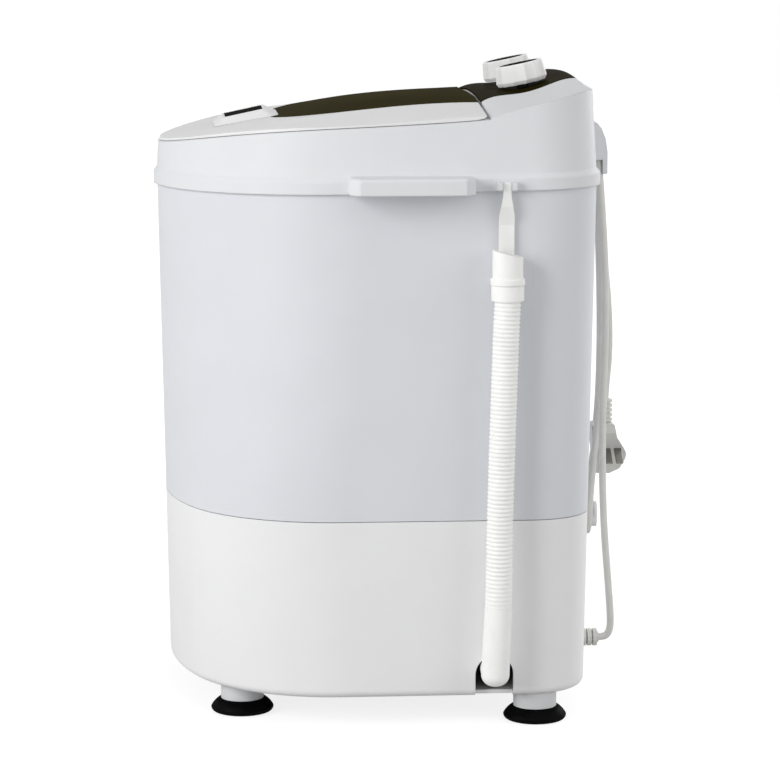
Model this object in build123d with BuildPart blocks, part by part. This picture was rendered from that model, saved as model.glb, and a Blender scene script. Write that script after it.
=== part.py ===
from build123d import *
import math
import os

os.makedirs("parts", exist_ok=True)

# Frame: millimetres, +Z up from the floor, -Y to the front, +X to the side that carries the drain hose.
# X = 0 is the plane of symmetry of the housing.

# Body outline in plan, at the height of the seam between the base and the tub
BODY_HALF_WIDTH = 178.0
BODY_FRONT = -179.5
BODY_BACK = 157.5
FRONT_CROWN = 10.0
FRONT_CORNER_RADIUS = 128.0
TOP_FRONT_CROWN = 13.0
TOP_CORNER_RADIUS = 150.0
REAR_CORNER_RADIUS = 50.0
DRAFT_ANGLE = 1.0
WALL = 2.6
FIT_GAP = 0.2

# Heights of the housing
BASE_BOTTOM = 24.2
SEAM_HEIGHT = 165.9
SEAM_GAP = 0.6
RIM_LOW = 423.7
RIM_HIGH = 433.1
RIM_TILT = 1.05
COVE_HIGH = 437.1
TUB_TOP = 430.5
RIM_OVERLAP = 5.0
RIM_ROUND = 1.6
UPPER_WALL_TOP = 515.0

# Base housing
BASE_WALL = 3.0
BASE_FLOOR = 3.0
BASE_EDGE_RADIUS = 6.0
ARCH_Y = 78.4
ARCH_WIDTH = 30.0
ARCH_TOP = 57.0
ARCH_DEPTH = 30.0

# Feet
FRONT_FOOT_X = 110.0
FRONT_FOOT_Y = -119.5
REAR_FOOT_X = 152.0
REAR_FOOT_Y = 113.5
FOOT_RADIUS = 25.2
FOOT_SOLE_RADIUS = 21.5
FOOT_HEIGHT = 11.0
FOOT_EDGE_HEIGHT = 3.8
FOOT_NECK = 1.0
FOOT_BULGE = 0.5
LEG_RADIUS = 17.25
LEG_SEAT_DEPTH = 0.6
LEG_SPIGOT_RADIUS = 11.0
LEG_SPIGOT_HEIGHT = 18.0
LEG_STUB_RADIUS = 8.0
LEG_STUB_DEPTH = 6.0

# Tub
TUB_FLOOR_TOP = 192.0
TUB_FLOOR = 3.0
TUB_FLOOR_CORNER = 18.0
TUB_SPIGOT_DEPTH = 16.0
AXIS_Y = -11.0
DISH_RADIUS = 104.0
DISH_DEPTH = 6.0
HUB_BORE_RADIUS = 15.0

# Top frame
RIM_GROW = 3.0
UPPER_WALL_DRAFT = 3.5
DECK = 2.5
LOAD_HALF_WIDTH = 138.0
LOAD_FRONT = -148.0
LOAD_BACK = 54.0
LOAD_CORNER = 88.0
LOAD_REAR_CORNER = 40.0
COLLAR_LOW = 446.0
CONSOLE_FRONT = 73.2
PARTITION = 2.6

# Line of the wall's top edge, seen from the side: distance back and height
DECK_LINE = [(-192, 452.2), (-148, 461.8), (-103, 468.2), (-20, 474.2), (80, 480.5)]
CONSOLE_EDGE_LINE = [(CONSOLE_FRONT, 480.4), (98, 488.3), (122, 494.2), (146, 497.9), (152, 498.3)]
CONSOLE_SKIN = 3.2

# Cross-sections of the console top: station, shoulder half-width, shoulder height, crown
CONSOLE_STATIONS = [
    (CONSOLE_FRONT, 108.0, 489.7, 5.2),
    (98, 104.0, 495.2, 3.2),
    (122, 98.0, 500.2, 1.8),
    (146, 90.0, 507.2, 2.8),
    (152, 87.5, 506.6, 3.0),
]
CONSOLE_BACK = 162.0
CONSOLE_BACK_HEIGHT = 499.5

# Carry handles on the rim
HANDLE_FRONT = -36.7
HANDLE_BACK = 59.7
HANDLE_DEPTH = 22.85
HANDLE_HIGH = 436.8
HANDLE_WALL = 2.6
HANDLE_BEVEL = 7.0
HANDLE_BEVEL_RUN = 2.0
HANDLE_CORNER = 3.0
HANDLE_ROUND = 3.0
HANDLE_ROOF = 4.1

# Lid
LID_SIDE_GAP = 1.0
LID_REST_GAP = 0.4
LID_EDGE = 2.4
LID_SKIN = 2.4
LID_REAR = 70.4
REAR_TOP_RADIUS = 7.2
REAR_LOW_RADIUS = 8.6
LID_STATIONS = [
    (-192, 108.0, 454.8, 0.3),
    (-148, 108.0, 464.3, 0.3),
    (-110, 108.0, 471.4, 0.5),
    (-60, 108.0, 479.2, 0.8),
    (0, 108.0, 486.2, 1.0),
    (71, 108.0, 489.6, 1.6),
]
HINGE_Y = 64.4
HINGE_Z = 488.5
HINGE_X = 32.0
PIN_RADIUS = 1.5
PIN_CLEARANCE = 0.05
LUG_THICKNESS = 5.0
LUG_NOSE_RADIUS = 2.4
LUG_BACK = 67.0
LUG_SETBACK = 1.0
LUG_WAIST = 1.2
LUG_WAIST_DROP = 7.0
LUG_CUT_LOW = 440.0
LUG_CUT_BACK = 100.0
LUG_GAP = 0.4
PIN_LENGTH = 20.0
LID_BAR = 12.0

# Lid window
WINDOW_HALF_WIDTH = 108.0
WINDOW_FRONT = -92.0
WINDOW_CORNER = 75.0
WINDOW_THICKNESS = 2.4
WINDOW_LEDGE = 9.0
WINDOW_GAP = 0.15
WINDOW_LIFT = 0.2
WINDOW_STATIONS = [(-96, 0.5), (-74, 2.2), (-50, 4.5), (-20, 5.9), (15, 6.1), (45, 6.3), (71, 6.3)]

# Raised tab on the lid's front
TAB_HALF_WIDTH = 40.0
TAB_FRONT = -140.0
TAB_BACK = -84.5
TAB_TOP_HALF_WIDTH = 32.0
TAB_TOP_FRONT = -129.0
TAB_TOP_BACK = -94.0
TAB_HEIGHT = 6.9
TAB_TILT = 12.0
TAB_BASE_HEIGHT = 470.8
TAB_ROOT = 4.0
TAB_OVERLAP = 1.5
TAB_CORNER = 8.0
TAB_TOP_CORNER = 4.0
PLATE_MARGIN = 1.8
PLATE_CORNER = 2.4
PLATE_THICKNESS = 1.2
PLATE_RECESS = 0.4

# Console inlay and knobs
INLAY_THICKNESS = 1.4
INLAY_GAP = 0.15
INLAY_BACK = 151.0
INLAY_CORNER = 15.0
INLAY_BULGE = 4.0
KNOB_X = 50.0
KNOB_Y = 112.6
KNOB_Z = 500.6
KNOB_TILT = 12.0
KNOB_RADIUS = 21.3
KNOB_TOP_RADIUS = 19.6
KNOB_HEIGHT = 16.6
KNOB_FACETS = 12
KNOB_BAND = 3.0
KNOB_LIFT = 1.55
KNOB_CAP_RADIUS = 15.6
KNOB_CAP_THICKNESS = 1.0
KNOB_SHAFT_RADIUS = 3.0
NECK_RADIUS = 5.0
SWITCH_LENGTH = 46.0
SWITCH_WIDTH = 40.0
SWITCH_DEPTH = 24.0
CONSOLE_COVER_HEIGHT = 462.0
COVER_SETBACK = 13.0
SWITCH_DROP = 7.0
SWITCH_SEAT_RADIUS = 10.0
NECK_PROUD = 0.4
KNOB_SHAFT_GRIP = 11.0
KNOB_BAND_STEP = 1.6

# Drive
SHAFT_RADIUS = 6.0
SHAFT_BOTTOM = 126.0
SHAFT_TOP = 203.0
HOUSING_RADIUS = 17.0
HOUSING_BOTTOM = 150.0
HOUSING_FLANGE_RADIUS = 38.0
HOUSING_FLANGE = 5.0
BEARING_SCREW_PITCH = 31.0
BUSH_RADIUS = 10.0
BUSH_LENGTH = 11.0
SEAL_RADIUS = 12.5
SEAL_LENGTH = 7.0
RUNNING_CLEARANCE = 0.05
PULSATOR_RADIUS = 98.0
PULSATOR_CLEARANCE = 1.5
PULSATOR_RIM = 4.0
PULSATOR_DOME = 13.0
HUB_RADIUS = 16.0
BLADE_COUNT = 6
BLADE_HEIGHT = 12.0
BELT_HEIGHT = 138.0
BELT_WIDTH = 9.0
BELT_DEPTH = 6.0
BELT_SIDE_GAP = 0.35
PULLEY_RADIUS = 75.0
PULLEY_WIDTH = 14.0
MOTOR_Y = -117.0
MOTOR_RADIUS = 44.0
MOTOR_LOW = 42.0
MOTOR_HIGH = 112.0
MOTOR_SHAFT_RADIUS = 4.0
MOTOR_PULLEY_RADIUS = 22.0
MOTOR_EAR_PITCH = 54.0
MOUNT_RADIUS = 9.0
CAPACITOR_X = -80.0
CAPACITOR_Y = 15.0
CAPACITOR_RADIUS = 18.0
CAPACITOR_LENGTH = 64.0
CLAMP_LENGTH = 50.0
CLAMP_WIDTH = 10.0
CLAMP_THICKNESS = 2.0
PAD_HEIGHT = 4.0

# Drain
DRAIN_X = 118.0
DRAIN_RADIUS = 11.0
PIPE_BEND = 24.0
HOSE_Y_LOW = 77.0
HOSE_STANDOFF = 17.0
HOSE_X = BODY_HALF_WIDTH + HOSE_STANDOFF
BOOT_RADIUS = 11.2
BOOT_TOP_RADIUS = 10.6
BOOT_JOINT = 100.0
BOOT_AXIS_HEIGHT = 48.8
NIPPLE_RADIUS = 8.6
NIPPLE_HEIGHT = 46.6
HOSE_TOP = 342.0
HOSE_RIB_RADIUS = 10.4
HOSE_ROOT_RADIUS = 9.5
HOSE_BORE_RADIUS = 7.6
HOSE_RIB_PITCH = 3.3
BOOT_LOW_Y = 76.6
BOOT_WALL = 1.2
BOOT_FLOOR = 4.0
BOOT_SOCKET = 22.0
BOOT_BOTTOM_ROUND = 9.0
CUFF_RING_LOW = 353.6
CUFF_RING_HIGH = 359.2
CUFF_TOP_FRONT = 381.0
CUFF_TOP_BACK = 375.0

# Centre line of the hose: distance back and height
HOSE_LINE = [(79.2, 100.0), (79.5, 121.0), (80.4, 186.0), (82.5, 264.0), (84.2, 321.0), (84.3, 342.0)]

# Cuff on the hose's upper end, with its tongue and the clip on the rim
CUFF_RADIUS = 11.85
CUFF_LOWER_RADIUS = 12.7
CUFF_RING_ROUND = 1.2
CUFF_BORE_RADIUS = 9.65
CUFF_RING_RADIUS = 13.35
CUFF_Y = 85.0
TONGUE_WIDTH = 12.0
TONGUE_THICKNESS = 2.2
NECK_WIDTH = 6.2
NECK_LOW = 422.0
NECK_TAPER = 16.0
NECK_SHOULDER = NECK_LOW - NECK_TAPER
NECK_TOP = 432.4
NECK_CLEARANCE = 0.6
TONGUE_ROOT = 6.0
TONGUE_BEND_LOW = 400.0
TONGUE_BEND_HIGH = 414.0
TONGUE_BEND_STEP = 0.6
CLIP_MARGIN = 0.4
CLIP_HEIGHT = 6.8
CLIP_PLATE = 1.2
CLIP_REACH = 6.4
CLIP_TAB = 4.4
CLIP_SLOT = 7.0

# Cord hooks, cord and plug
LOOP_X = -6.0
HOOD_HALF_WIDTH = 26.4
HOOD_TOP = 474.5
HOOD_LOW = 425.6
HOOD_SIDE_LOW = 437.0
HOOD_DEPTH = 27.26
HOOD_WALL = 2.0
HOOD_BAR_RADIUS = 10.5
HOOD_BAR_HEIGHT = 438.0
HOOK_HEIGHT = 132.0
HOOK_RADIUS = 7.6
HOOK_LIP = 2.5
HOOK_LIP_TOP = 146.0
HOOK_PEG = 26.5
HOOK_REACH = BODY_BACK + HOOK_PEG
HOOK_PLATE_HALF_WIDTH = 11.0
HOOK_PLATE_HEIGHT = 32.0
HOOK_PLATE_CORNER = 5.0
HOOK_PLATE = 2.2
CORD_RADIUS = 2.95
RELIEF_X = 60.0
RELIEF_HEIGHT = 43.6
RELIEF_END = 177.4
RELIEF_RIB_RADIUS = 7.2
RELIEF_CORE_RADIUS = 4.4
RELIEF_FLANGE_RADIUS = 8.0
RELIEF_RIBS = 3
RELIEF_RIB_PITCH = 4.6
RELIEF_RIB_SHARE = 0.72
PLUG_Y = 191.0
PLUG_TOP = 234.0
PLUG_HALF_THICKNESS = 12.0
PLUG_FACE_TILT = 32.0
PLUG_FACE_TOP = 206.0
SLEEVE_RADIUS = 6.2
SLEEVE_CORE_RADIUS = 4.6
SLEEVE_LENGTH = 20.0
SLEEVE_RIBS = 5
BLADE_WIDTH = 6.3
BLADE_THICKNESS = 1.6
BLADE_LENGTH = 18.0
BLADE_SPACING = 9.0
BLADE_HEIGHT_ON_PLUG = 191.0
BLADE_Y = 197.0

# The plug's outline seen from the machine's side: distance back and height
PLUG_OUTLINE = [
    (178.2, 212.0), (183.5, 214.0), (197.5, 214.0), (200.0, 202.3), (206.9, 191.9), (209.5, 187.5),
    (209.6, 182.4), (205.4, 172.1), (196.1, 167.1), (182.4, 168.1),
]

# The hood's outline from the wall: share of its depth and share of its height down from the top
HOOD_SHAPE = [(0.45, 0.065), (0.69, 0.149), (0.813, 0.233), (0.938, 0.403), (1.0, 0.626), (1.0, 1.0)]

# Route of the cord: out of the strain relief, up to the hood, down to the hook, up again, down to the plug
CORD_POINTS = [
    (60.0, 177.4, 43.6), (60.0, 182.8, 43.6), (59.9, 187.0, 46.6), (59.6, 189.3, 51.6), (59.2, 189.8, 59.4),
    (58.0, 189.2, 74.0), (55.5, 187.4, 99.0), (51.0, 184.4, 136.0), (45.0, 182.2, 184.0),
    (38.0, 181.7, 240.0), (31.0, 182.7, 298.0), (25.0, 183.8, 346.0), (20.4, 183.6, 383.0),
    (16.6, 182.8, 408.0), (15.0, 181.1, 428.0), (14.6, 179.4, 446.5), (2.5, 177.0, 458.6),
    (-14.5, 177.0, 458.6), (-26.6, 179.2, 446.5), (-26.5, 181.0, 428.0), (-26.0, 184.0, 408.0),
    (-25.4, 184.8, 378.0), (-24.4, 185.4, 334.0), (-23.6, 186.3, 280.0), (-22.9, 185.8, 226.0),
    (-22.4, 182.6, 176.0), (-19.8, 180.4, 146.0), (-17.0, 179.2, 127.4), (-10.6, 178.2, 121.0),
    (-1.4, 178.2, 121.0), (5.0, 179.2, 127.4), (8.2, 180.2, 145.0), (10.2, 182.4, 177.0),
    (10.4, 184.8, 226.0), (9.9, 185.4, 281.0), (9.2, 184.8, 334.0), (8.4, 184.2, 378.0),
    (8.2, 183.0, 407.0), (8.0, 181.0, 427.0), (7.9, 179.4, 443.8), (-0.2, 177.4, 451.9),
    (-11.8, 177.4, 451.9), (-19.9, 179.2, 443.8), (-19.6, 181.0, 428.0), (-19.0, 185.2, 410.0),
    (-17.6, 188.2, 384.0), (-15.0, 190.2, 348.0), (-11.6, 192.4, 308.0), (-8.0, 192.9, 272.0),
    (-6.0, 191.0, 250.0), (-6.0, 191.0, 234.0),
]


def grow_at(height):
    """How far the drafted wall stands outside the seam outline at a height."""
    return (height - SEAM_HEIGHT) * math.tan(math.radians(DRAFT_ANGLE))


def upper_grow_at(height):
    """The same above the rim, where the wall leans inwards."""
    return grow_at(RIM_LOW) - (height - COVE_HIGH) * math.tan(math.radians(UPPER_WALL_DRAFT))


def body_sketch(height, grow, tilt=0.0):
    """Plan outline of the body: crowned front, large front corners that grow rounder upwards, flat back."""
    share = min(max((height - SEAM_HEIGHT) / (TUB_TOP - SEAM_HEIGHT), 0.0), 1.0)
    crown = FRONT_CROWN + share * (TOP_FRONT_CROWN - FRONT_CROWN)
    half = BODY_HALF_WIDTH + grow
    front = BODY_FRONT - grow
    back = BODY_BACK + grow
    corner = FRONT_CORNER_RADIUS + share * (TOP_CORNER_RADIUS - FRONT_CORNER_RADIUS) + grow
    rear = REAR_CORNER_RADIUS + grow
    centre_x = half - corner
    centre_y = front + crown + corner
    turn = math.pi / 2 - 2 * math.atan(crown / centre_x)
    join_x = centre_x + corner * math.cos(turn)
    join_y = centre_y - corner * math.sin(turn)
    mid_x = centre_x + corner * math.cos(turn / 2)
    mid_y = centre_y - corner * math.sin(turn / 2)
    rear_x = half - rear
    rear_y = back - rear
    bulge = rear * math.sqrt(0.5)
    lean = math.radians(tilt)
    level = Plane(origin=(0, 0, height), x_dir=(1, 0, 0), z_dir=(0, -math.sin(lean), math.cos(lean)))
    with BuildSketch(level) as sketch:
        with BuildLine():
            ThreePointArc((-join_x, join_y), (0, front), (join_x, join_y))
            ThreePointArc((join_x, join_y), (mid_x, mid_y), (half, centre_y))
            Line((half, centre_y), (half, rear_y))
            ThreePointArc((half, rear_y), (rear_x + bulge, rear_y + bulge), (rear_x, back))
            Line((rear_x, back), (-rear_x, back))
            ThreePointArc((-rear_x, back), (-rear_x - bulge, rear_y + bulge), (-half, rear_y))
            Line((-half, rear_y), (-half, centre_y))
            ThreePointArc((-half, centre_y), (-mid_x, mid_y), (-join_x, join_y))
        make_face()
    return sketch.sketch


def body_block(low, low_grow, high, high_grow, tilt=0.0):
    """A solid between two heights whose sides are the body outline, grown at each end."""
    with BuildPart() as block:
        loft([body_sketch(low, low_grow, tilt), body_sketch(high, high_grow, tilt)], ruled=True)
    return block.part


def under_line(points, drop, y_from, y_to, half_width=230.0, floor=380.0):
    """Everything below a curved line seen from the side, across the whole width."""
    with BuildPart() as block:
        with BuildSketch(Plane.YZ):
            with BuildLine():
                top = Spline(*[(y, z - drop) for y, z in points])
                Line(top @ 1, ((top @ 1).X, floor))
                Line(((top @ 1).X, floor), ((top @ 0).X, floor))
                Line(((top @ 0).X, floor), top @ 0)
            make_face()
        extrude(amount=half_width, both=True)
        with BuildSketch(Plane.XY.offset(floor - 1)):
            with Locations((0, (y_from + y_to) / 2)):
                Rectangle(2 * half_width + 10, y_to - y_from)
        extrude(amount=200, mode=Mode.INTERSECT)
    return block.part


def line_height(points, y):
    """Height of a side line at a station, straight between its points."""
    for (y0, z0), (y1, z1) in zip(points, points[1:]):
        if y0 <= y <= y1:
            return z0 + (z1 - z0) * (y - y0) / (y1 - y0)
    return points[-1][1] if y > points[-1][0] else points[0][1]


def crown_section(y, edge_height, shoulder_x, shoulder_height, crown, floor=380.0):
    """One cross-section of a crowned top: sloping borders and a crowned middle between shoulders."""
    slope = (shoulder_height - edge_height) / (BODY_HALF_WIDTH + 2 - shoulder_x)
    outer_x = BODY_HALF_WIDTH + 30
    outer_z = edge_height - slope * (outer_x - BODY_HALF_WIDTH - 2)
    with BuildSketch(Plane.XZ.offset(-y)) as section:
        with BuildLine():
            Line((-outer_x, floor), (-outer_x, outer_z))
            Line((-outer_x, outer_z), (-shoulder_x, shoulder_height))
            ThreePointArc(
                (-shoulder_x, shoulder_height), (0, shoulder_height + crown), (shoulder_x, shoulder_height)
            )
            Line((shoulder_x, shoulder_height), (outer_x, outer_z))
            Line((outer_x, outer_z), (outer_x, floor))
            Line((outer_x, floor), (-outer_x, floor))
        make_face()
    return section.sketch


def rounded_front_sketch(height, half, front, back, corner, rear_corner):
    """A plan outline with round front corners, used for the loading opening and the lid window."""
    with BuildSketch(Plane.XY.offset(height)) as sketch:
        with Locations((0, (front + back) / 2)):
            Rectangle(2 * half, back - front)
        fillet(sketch.vertices().group_by(Axis.Y)[0], corner)
        if rear_corner > 0:
            fillet(sketch.vertices().group_by(Axis.Y)[-1], rear_corner)
    return sketch.sketch


# Volumes of the crowned tops
def lid_volume(drop=0.0):
    """Everything below the lid's white skin."""
    edge = [line_height(DECK_LINE, min(y, CONSOLE_FRONT)) + LID_EDGE for y, *_ in LID_STATIONS]
    with BuildPart() as block:
        loft([
            crown_section(y, e - drop, sx, sz - drop, crown)
            for e, (y, sx, sz, crown) in zip(edge, LID_STATIONS)
        ])
    return block.part


def console_volume(drop=0.0):
    """Everything below the console's white skin, with the sloping border at the back."""
    edge = [z for _, z in CONSOLE_EDGE_LINE]
    sections = [
        crown_section(y, e - drop, sx, sz - drop, crown)
        for e, (y, sx, sz, crown) in zip(edge, CONSOLE_STATIONS)
    ]
    with BuildPart() as block:
        loft(sections)
        last = CONSOLE_STATIONS[-1]
        loft([
            crown_section(last[0], edge[-1] - drop, last[1], last[2] - drop, last[3]),
            crown_section(
                CONSOLE_BACK + drop,
                CONSOLE_BACK_HEIGHT - drop, last[1] - 10, CONSOLE_BACK_HEIGHT - drop + 0.2, 0.4,
            ),
        ], ruled=True)
    return block.part


def window_volume(drop=0.0):
    """Everything below the domed window."""
    sections = []
    for y, crown in WINDOW_STATIONS:
        shoulder = line_height([(s[0], s[2]) for s in LID_STATIONS], y) + WINDOW_LIFT - drop
        sections.append(crown_section(y, shoulder - 8, WINDOW_HALF_WIDTH, shoulder, crown))
    with BuildPart() as block:
        loft(sections)
    return block.part


# Base housing: drafted skirt, rounded bottom edge, floor, leg bosses, hose arch
base_outer = body_block(BASE_BOTTOM, grow_at(BASE_BOTTOM), SEAM_HEIGHT, 0)
base_inner = body_block(
    BASE_BOTTOM + BASE_FLOOR, grow_at(BASE_BOTTOM + BASE_FLOOR) - BASE_WALL,
    SEAM_HEIGHT + 1, grow_at(SEAM_HEIGHT + 1) - BASE_WALL,
)
FOOT_PLACES = [
    (-FRONT_FOOT_X, FRONT_FOOT_Y), (FRONT_FOOT_X, FRONT_FOOT_Y),
    (-REAR_FOOT_X, REAR_FOOT_Y), (REAR_FOOT_X, REAR_FOOT_Y),
]
FOOT_NAMES = ["front_left", "front_right", "rear_left", "rear_right"]
MOTOR_EARS = [
    (MOTOR_EAR_PITCH * math.cos(math.radians(a)), MOTOR_Y + MOTOR_EAR_PITCH * math.sin(math.radians(a)))
    for a in (90, 210, 330)
]
PILLAR_TOP = MOTOR_LOW - 8.0
FLOOR_TOP = BASE_BOTTOM + BASE_FLOOR

with BuildPart() as base_housing:
    add(base_outer)
    fillet(base_housing.faces().sort_by(Axis.Z)[0].edges(), BASE_EDGE_RADIUS)
    add(base_inner, mode=Mode.SUBTRACT)
    # bosses that take the leg spigots
    with BuildSketch(Plane.XY.offset(FLOOR_TOP - 1)):
        with Locations(*FOOT_PLACES):
            Circle(LEG_SPIGOT_RADIUS + 3)
    extrude(amount=LEG_SPIGOT_HEIGHT + 1)
    # pillars under the motor's mounts
    with BuildSketch(Plane.XY.offset(FLOOR_TOP - 1)):
        with Locations(*MOTOR_EARS):
            Circle(MOUNT_RADIUS)
    extrude(amount=PILLAR_TOP - FLOOR_TOP + 1)
    # pad for the capacitor clamp
    with BuildSketch(Plane.XY.offset(FLOOR_TOP - 1)):
        with Locations((CAPACITOR_X, CAPACITOR_Y)):
            Rectangle(CLAMP_LENGTH + 2, CAPACITOR_LENGTH - 4)
    extrude(amount=PAD_HEIGHT + 1)
    # seats and holes for the legs
    with BuildSketch(Plane.XY.offset(BASE_BOTTOM - 0.5)):
        with Locations(*FOOT_PLACES):
            Circle(LEG_RADIUS + FIT_GAP)
    extrude(amount=LEG_SEAT_DEPTH + 0.5, mode=Mode.SUBTRACT)
    with BuildSketch(Plane.XY.offset(BASE_BOTTOM - 1)):
        with Locations(*FOOT_PLACES):
            Circle(LEG_SPIGOT_RADIUS)
    extrude(amount=LEG_SPIGOT_HEIGHT + 10, mode=Mode.SUBTRACT)
    # arch for the drain hose, through the side wall and the bottom edge
    with BuildSketch(Plane.YZ.offset(BODY_HALF_WIDTH - ARCH_DEPTH + 18)):
        with BuildLine():
            side = ARCH_WIDTH / 2
            spring = ARCH_TOP - side
            Line((ARCH_Y - side, BASE_BOTTOM - 5), (ARCH_Y - side, spring))
            ThreePointArc(
                (ARCH_Y - side, spring), (ARCH_Y, ARCH_TOP), (ARCH_Y + side, spring)
            )
            Line((ARCH_Y + side, spring), (ARCH_Y + side, BASE_BOTTOM - 5))
            Line((ARCH_Y + side, BASE_BOTTOM - 5), (ARCH_Y - side, BASE_BOTTOM - 5))
        make_face()
    extrude(amount=ARCH_DEPTH, mode=Mode.SUBTRACT)
    # hole for the cord's strain relief in the back wall
    with BuildSketch(Plane.XZ.offset(-BODY_BACK + 12)):
        with Locations((RELIEF_X, RELIEF_HEIGHT)):
            Circle(RELIEF_CORE_RADIUS)
    extrude(amount=-24, mode=Mode.SUBTRACT)
base_housing.part.label = "base_housing"
export_step(base_housing.part, "parts/base_housing.step")


def leg(x, y):
    """Column under the base with a spigot above and a stub below."""
    top = BASE_BOTTOM + LEG_SEAT_DEPTH
    with BuildPart() as column:
        with BuildSketch(Plane.XZ.offset(-y)):
            with BuildLine():
                Polyline(
                    (x, FOOT_HEIGHT - LEG_STUB_DEPTH), (x + LEG_STUB_RADIUS, FOOT_HEIGHT - LEG_STUB_DEPTH),
                    (x + LEG_STUB_RADIUS, FOOT_HEIGHT), (x + LEG_RADIUS, FOOT_HEIGHT),
                    (x + LEG_RADIUS, top), (x + LEG_SPIGOT_RADIUS, top),
                    (x + LEG_SPIGOT_RADIUS, FLOOR_TOP + LEG_SPIGOT_HEIGHT),
                    (x, FLOOR_TOP + LEG_SPIGOT_HEIGHT), (x, FOOT_HEIGHT - LEG_STUB_DEPTH),
                )
            make_face()
        revolve(axis=Axis((x, y, 0), (0, 0, 1)))
    return column.part


def foot(x, y):
    """Black rubber foot: flared skirt with a rounded shoulder and a pocket for the leg's stub."""
    pocket = FOOT_HEIGHT - LEG_STUB_DEPTH
    neck = x + LEG_RADIUS + FOOT_NECK
    flank = ((x + FOOT_RADIUS + neck) / 2 + FOOT_BULGE, (FOOT_EDGE_HEIGHT + FOOT_HEIGHT) / 2 + FOOT_BULGE)
    with BuildPart() as pad:
        with BuildSketch(Plane.XZ.offset(-y)):
            with BuildLine():
                Line((x, 0), (x + FOOT_SOLE_RADIUS, 0))
                TangentArc((x + FOOT_SOLE_RADIUS, 0), (x + FOOT_RADIUS, FOOT_EDGE_HEIGHT), tangent=(1, 0))
                ThreePointArc((x + FOOT_RADIUS, FOOT_EDGE_HEIGHT), flank, (neck, FOOT_HEIGHT))
                Polyline(
                    (neck, FOOT_HEIGHT), (x + LEG_STUB_RADIUS, FOOT_HEIGHT),
                    (x + LEG_STUB_RADIUS, pocket), (x, pocket), (x, 0),
                )
            make_face()
        revolve(axis=Axis((x, y, 0), (0, 0, 1)))
    return pad.part


for name, (foot_x, foot_y) in zip(FOOT_NAMES, FOOT_PLACES):
    leg_part = leg(foot_x, foot_y)
    leg_part.label = "leg_" + name
    export_step(leg_part, "parts/leg_" + name + ".step")
    foot_part = foot(foot_x, foot_y)
    foot_part.label = "foot_" + name
    export_step(foot_part, "parts/foot_" + name + ".step")

# Tub: thin drafted wall, floor with a round dish, spigot that sits inside the base
TUB_LOW = SEAM_HEIGHT + SEAM_GAP
DISH_TOP = TUB_FLOOR_TOP - DISH_DEPTH
tub_outer = body_block(TUB_LOW, grow_at(TUB_LOW), TUB_TOP, grow_at(TUB_TOP))
tub_inner = body_block(
    TUB_FLOOR_TOP, grow_at(TUB_FLOOR_TOP) - WALL, TUB_TOP + 1, grow_at(TUB_TOP + 1) - WALL
)
with BuildPart() as tub_cavity:
    add(tub_inner)
    fillet(tub_cavity.faces().sort_by(Axis.Z)[0].edges(), TUB_FLOOR_CORNER)
spigot_low = SEAM_HEIGHT - TUB_SPIGOT_DEPTH
spigot_grow = -BASE_WALL - FIT_GAP
spigot_outer = body_block(
    spigot_low, grow_at(spigot_low) + spigot_grow, TUB_LOW + 0.5, grow_at(TUB_LOW + 0.5) + spigot_grow
)
underside = TUB_FLOOR_TOP - TUB_FLOOR
under_inner = body_block(
    spigot_low - 1, grow_at(spigot_low - 1) + spigot_grow - WALL,
    underside, grow_at(underside) + spigot_grow - WALL,
)

with BuildPart() as tub:
    add(tub_outer)
    add(tub_cavity.part, mode=Mode.SUBTRACT)
    add(spigot_outer)
    add(under_inner, mode=Mode.SUBTRACT)
    # round dish for the pulsator, hanging below the floor
    with BuildSketch(Plane.XY.offset(DISH_TOP - TUB_FLOOR)):
        with Locations((0, AXIS_Y)):
            Circle(DISH_RADIUS + TUB_FLOOR)
    extrude(amount=DISH_DEPTH + TUB_FLOOR)
    with BuildSketch(Plane.XY.offset(DISH_TOP)):
        with Locations((0, AXIS_Y)):
            Circle(DISH_RADIUS)
    extrude(amount=DISH_DEPTH + 0.5, mode=Mode.SUBTRACT)
    # hole for the bearing housing and the drain outlet
    with BuildSketch(Plane.XY.offset(DISH_TOP - TUB_FLOOR - 1)):
        with Locations((0, AXIS_Y)):
            Circle(HUB_BORE_RADIUS)
    extrude(amount=TUB_FLOOR + 2, mode=Mode.SUBTRACT)
    with BuildSketch(Plane.XY.offset(underside - 12)):
        with Locations((DRAIN_X, HOSE_Y_LOW)):
            Circle(DRAIN_RADIUS + 2)
    extrude(amount=13)
    with BuildSketch(Plane.XY.offset(underside - 13)):
        with Locations((DRAIN_X, HOSE_Y_LOW)):
            Circle(DRAIN_RADIUS)
    extrude(amount=TUB_FLOOR + 20, mode=Mode.SUBTRACT)
tub.part.label = "tub"
export_step(tub.part, "parts/tub.step")

# Drain grille: shallow dome with radial slots over the outlet
with BuildPart() as drain_grille:
    with BuildSketch(Plane.XY.offset(TUB_FLOOR_TOP)):
        with Locations((DRAIN_X, HOSE_Y_LOW)):
            Circle(DRAIN_RADIUS + 6)
    extrude(amount=4)
    fillet(drain_grille.faces().sort_by(Axis.Z)[-1].edges(), 2)
    with BuildSketch(Plane.XY.offset(TUB_FLOOR_TOP - 1)):
        with Locations((DRAIN_X, HOSE_Y_LOW)):
            Circle(DRAIN_RADIUS + 1)
    extrude(amount=3.2, mode=Mode.SUBTRACT)
    with BuildSketch(Plane.XY.offset(TUB_FLOOR_TOP)):
        with Locations((DRAIN_X, HOSE_Y_LOW)):
            with PolarLocations(8, 8):
                SlotOverall(9, 2.4)
    extrude(amount=6, mode=Mode.SUBTRACT)
drain_grille.part.label = "drain_grille"
export_step(drain_grille.part, "parts/drain_grille.step")

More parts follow.
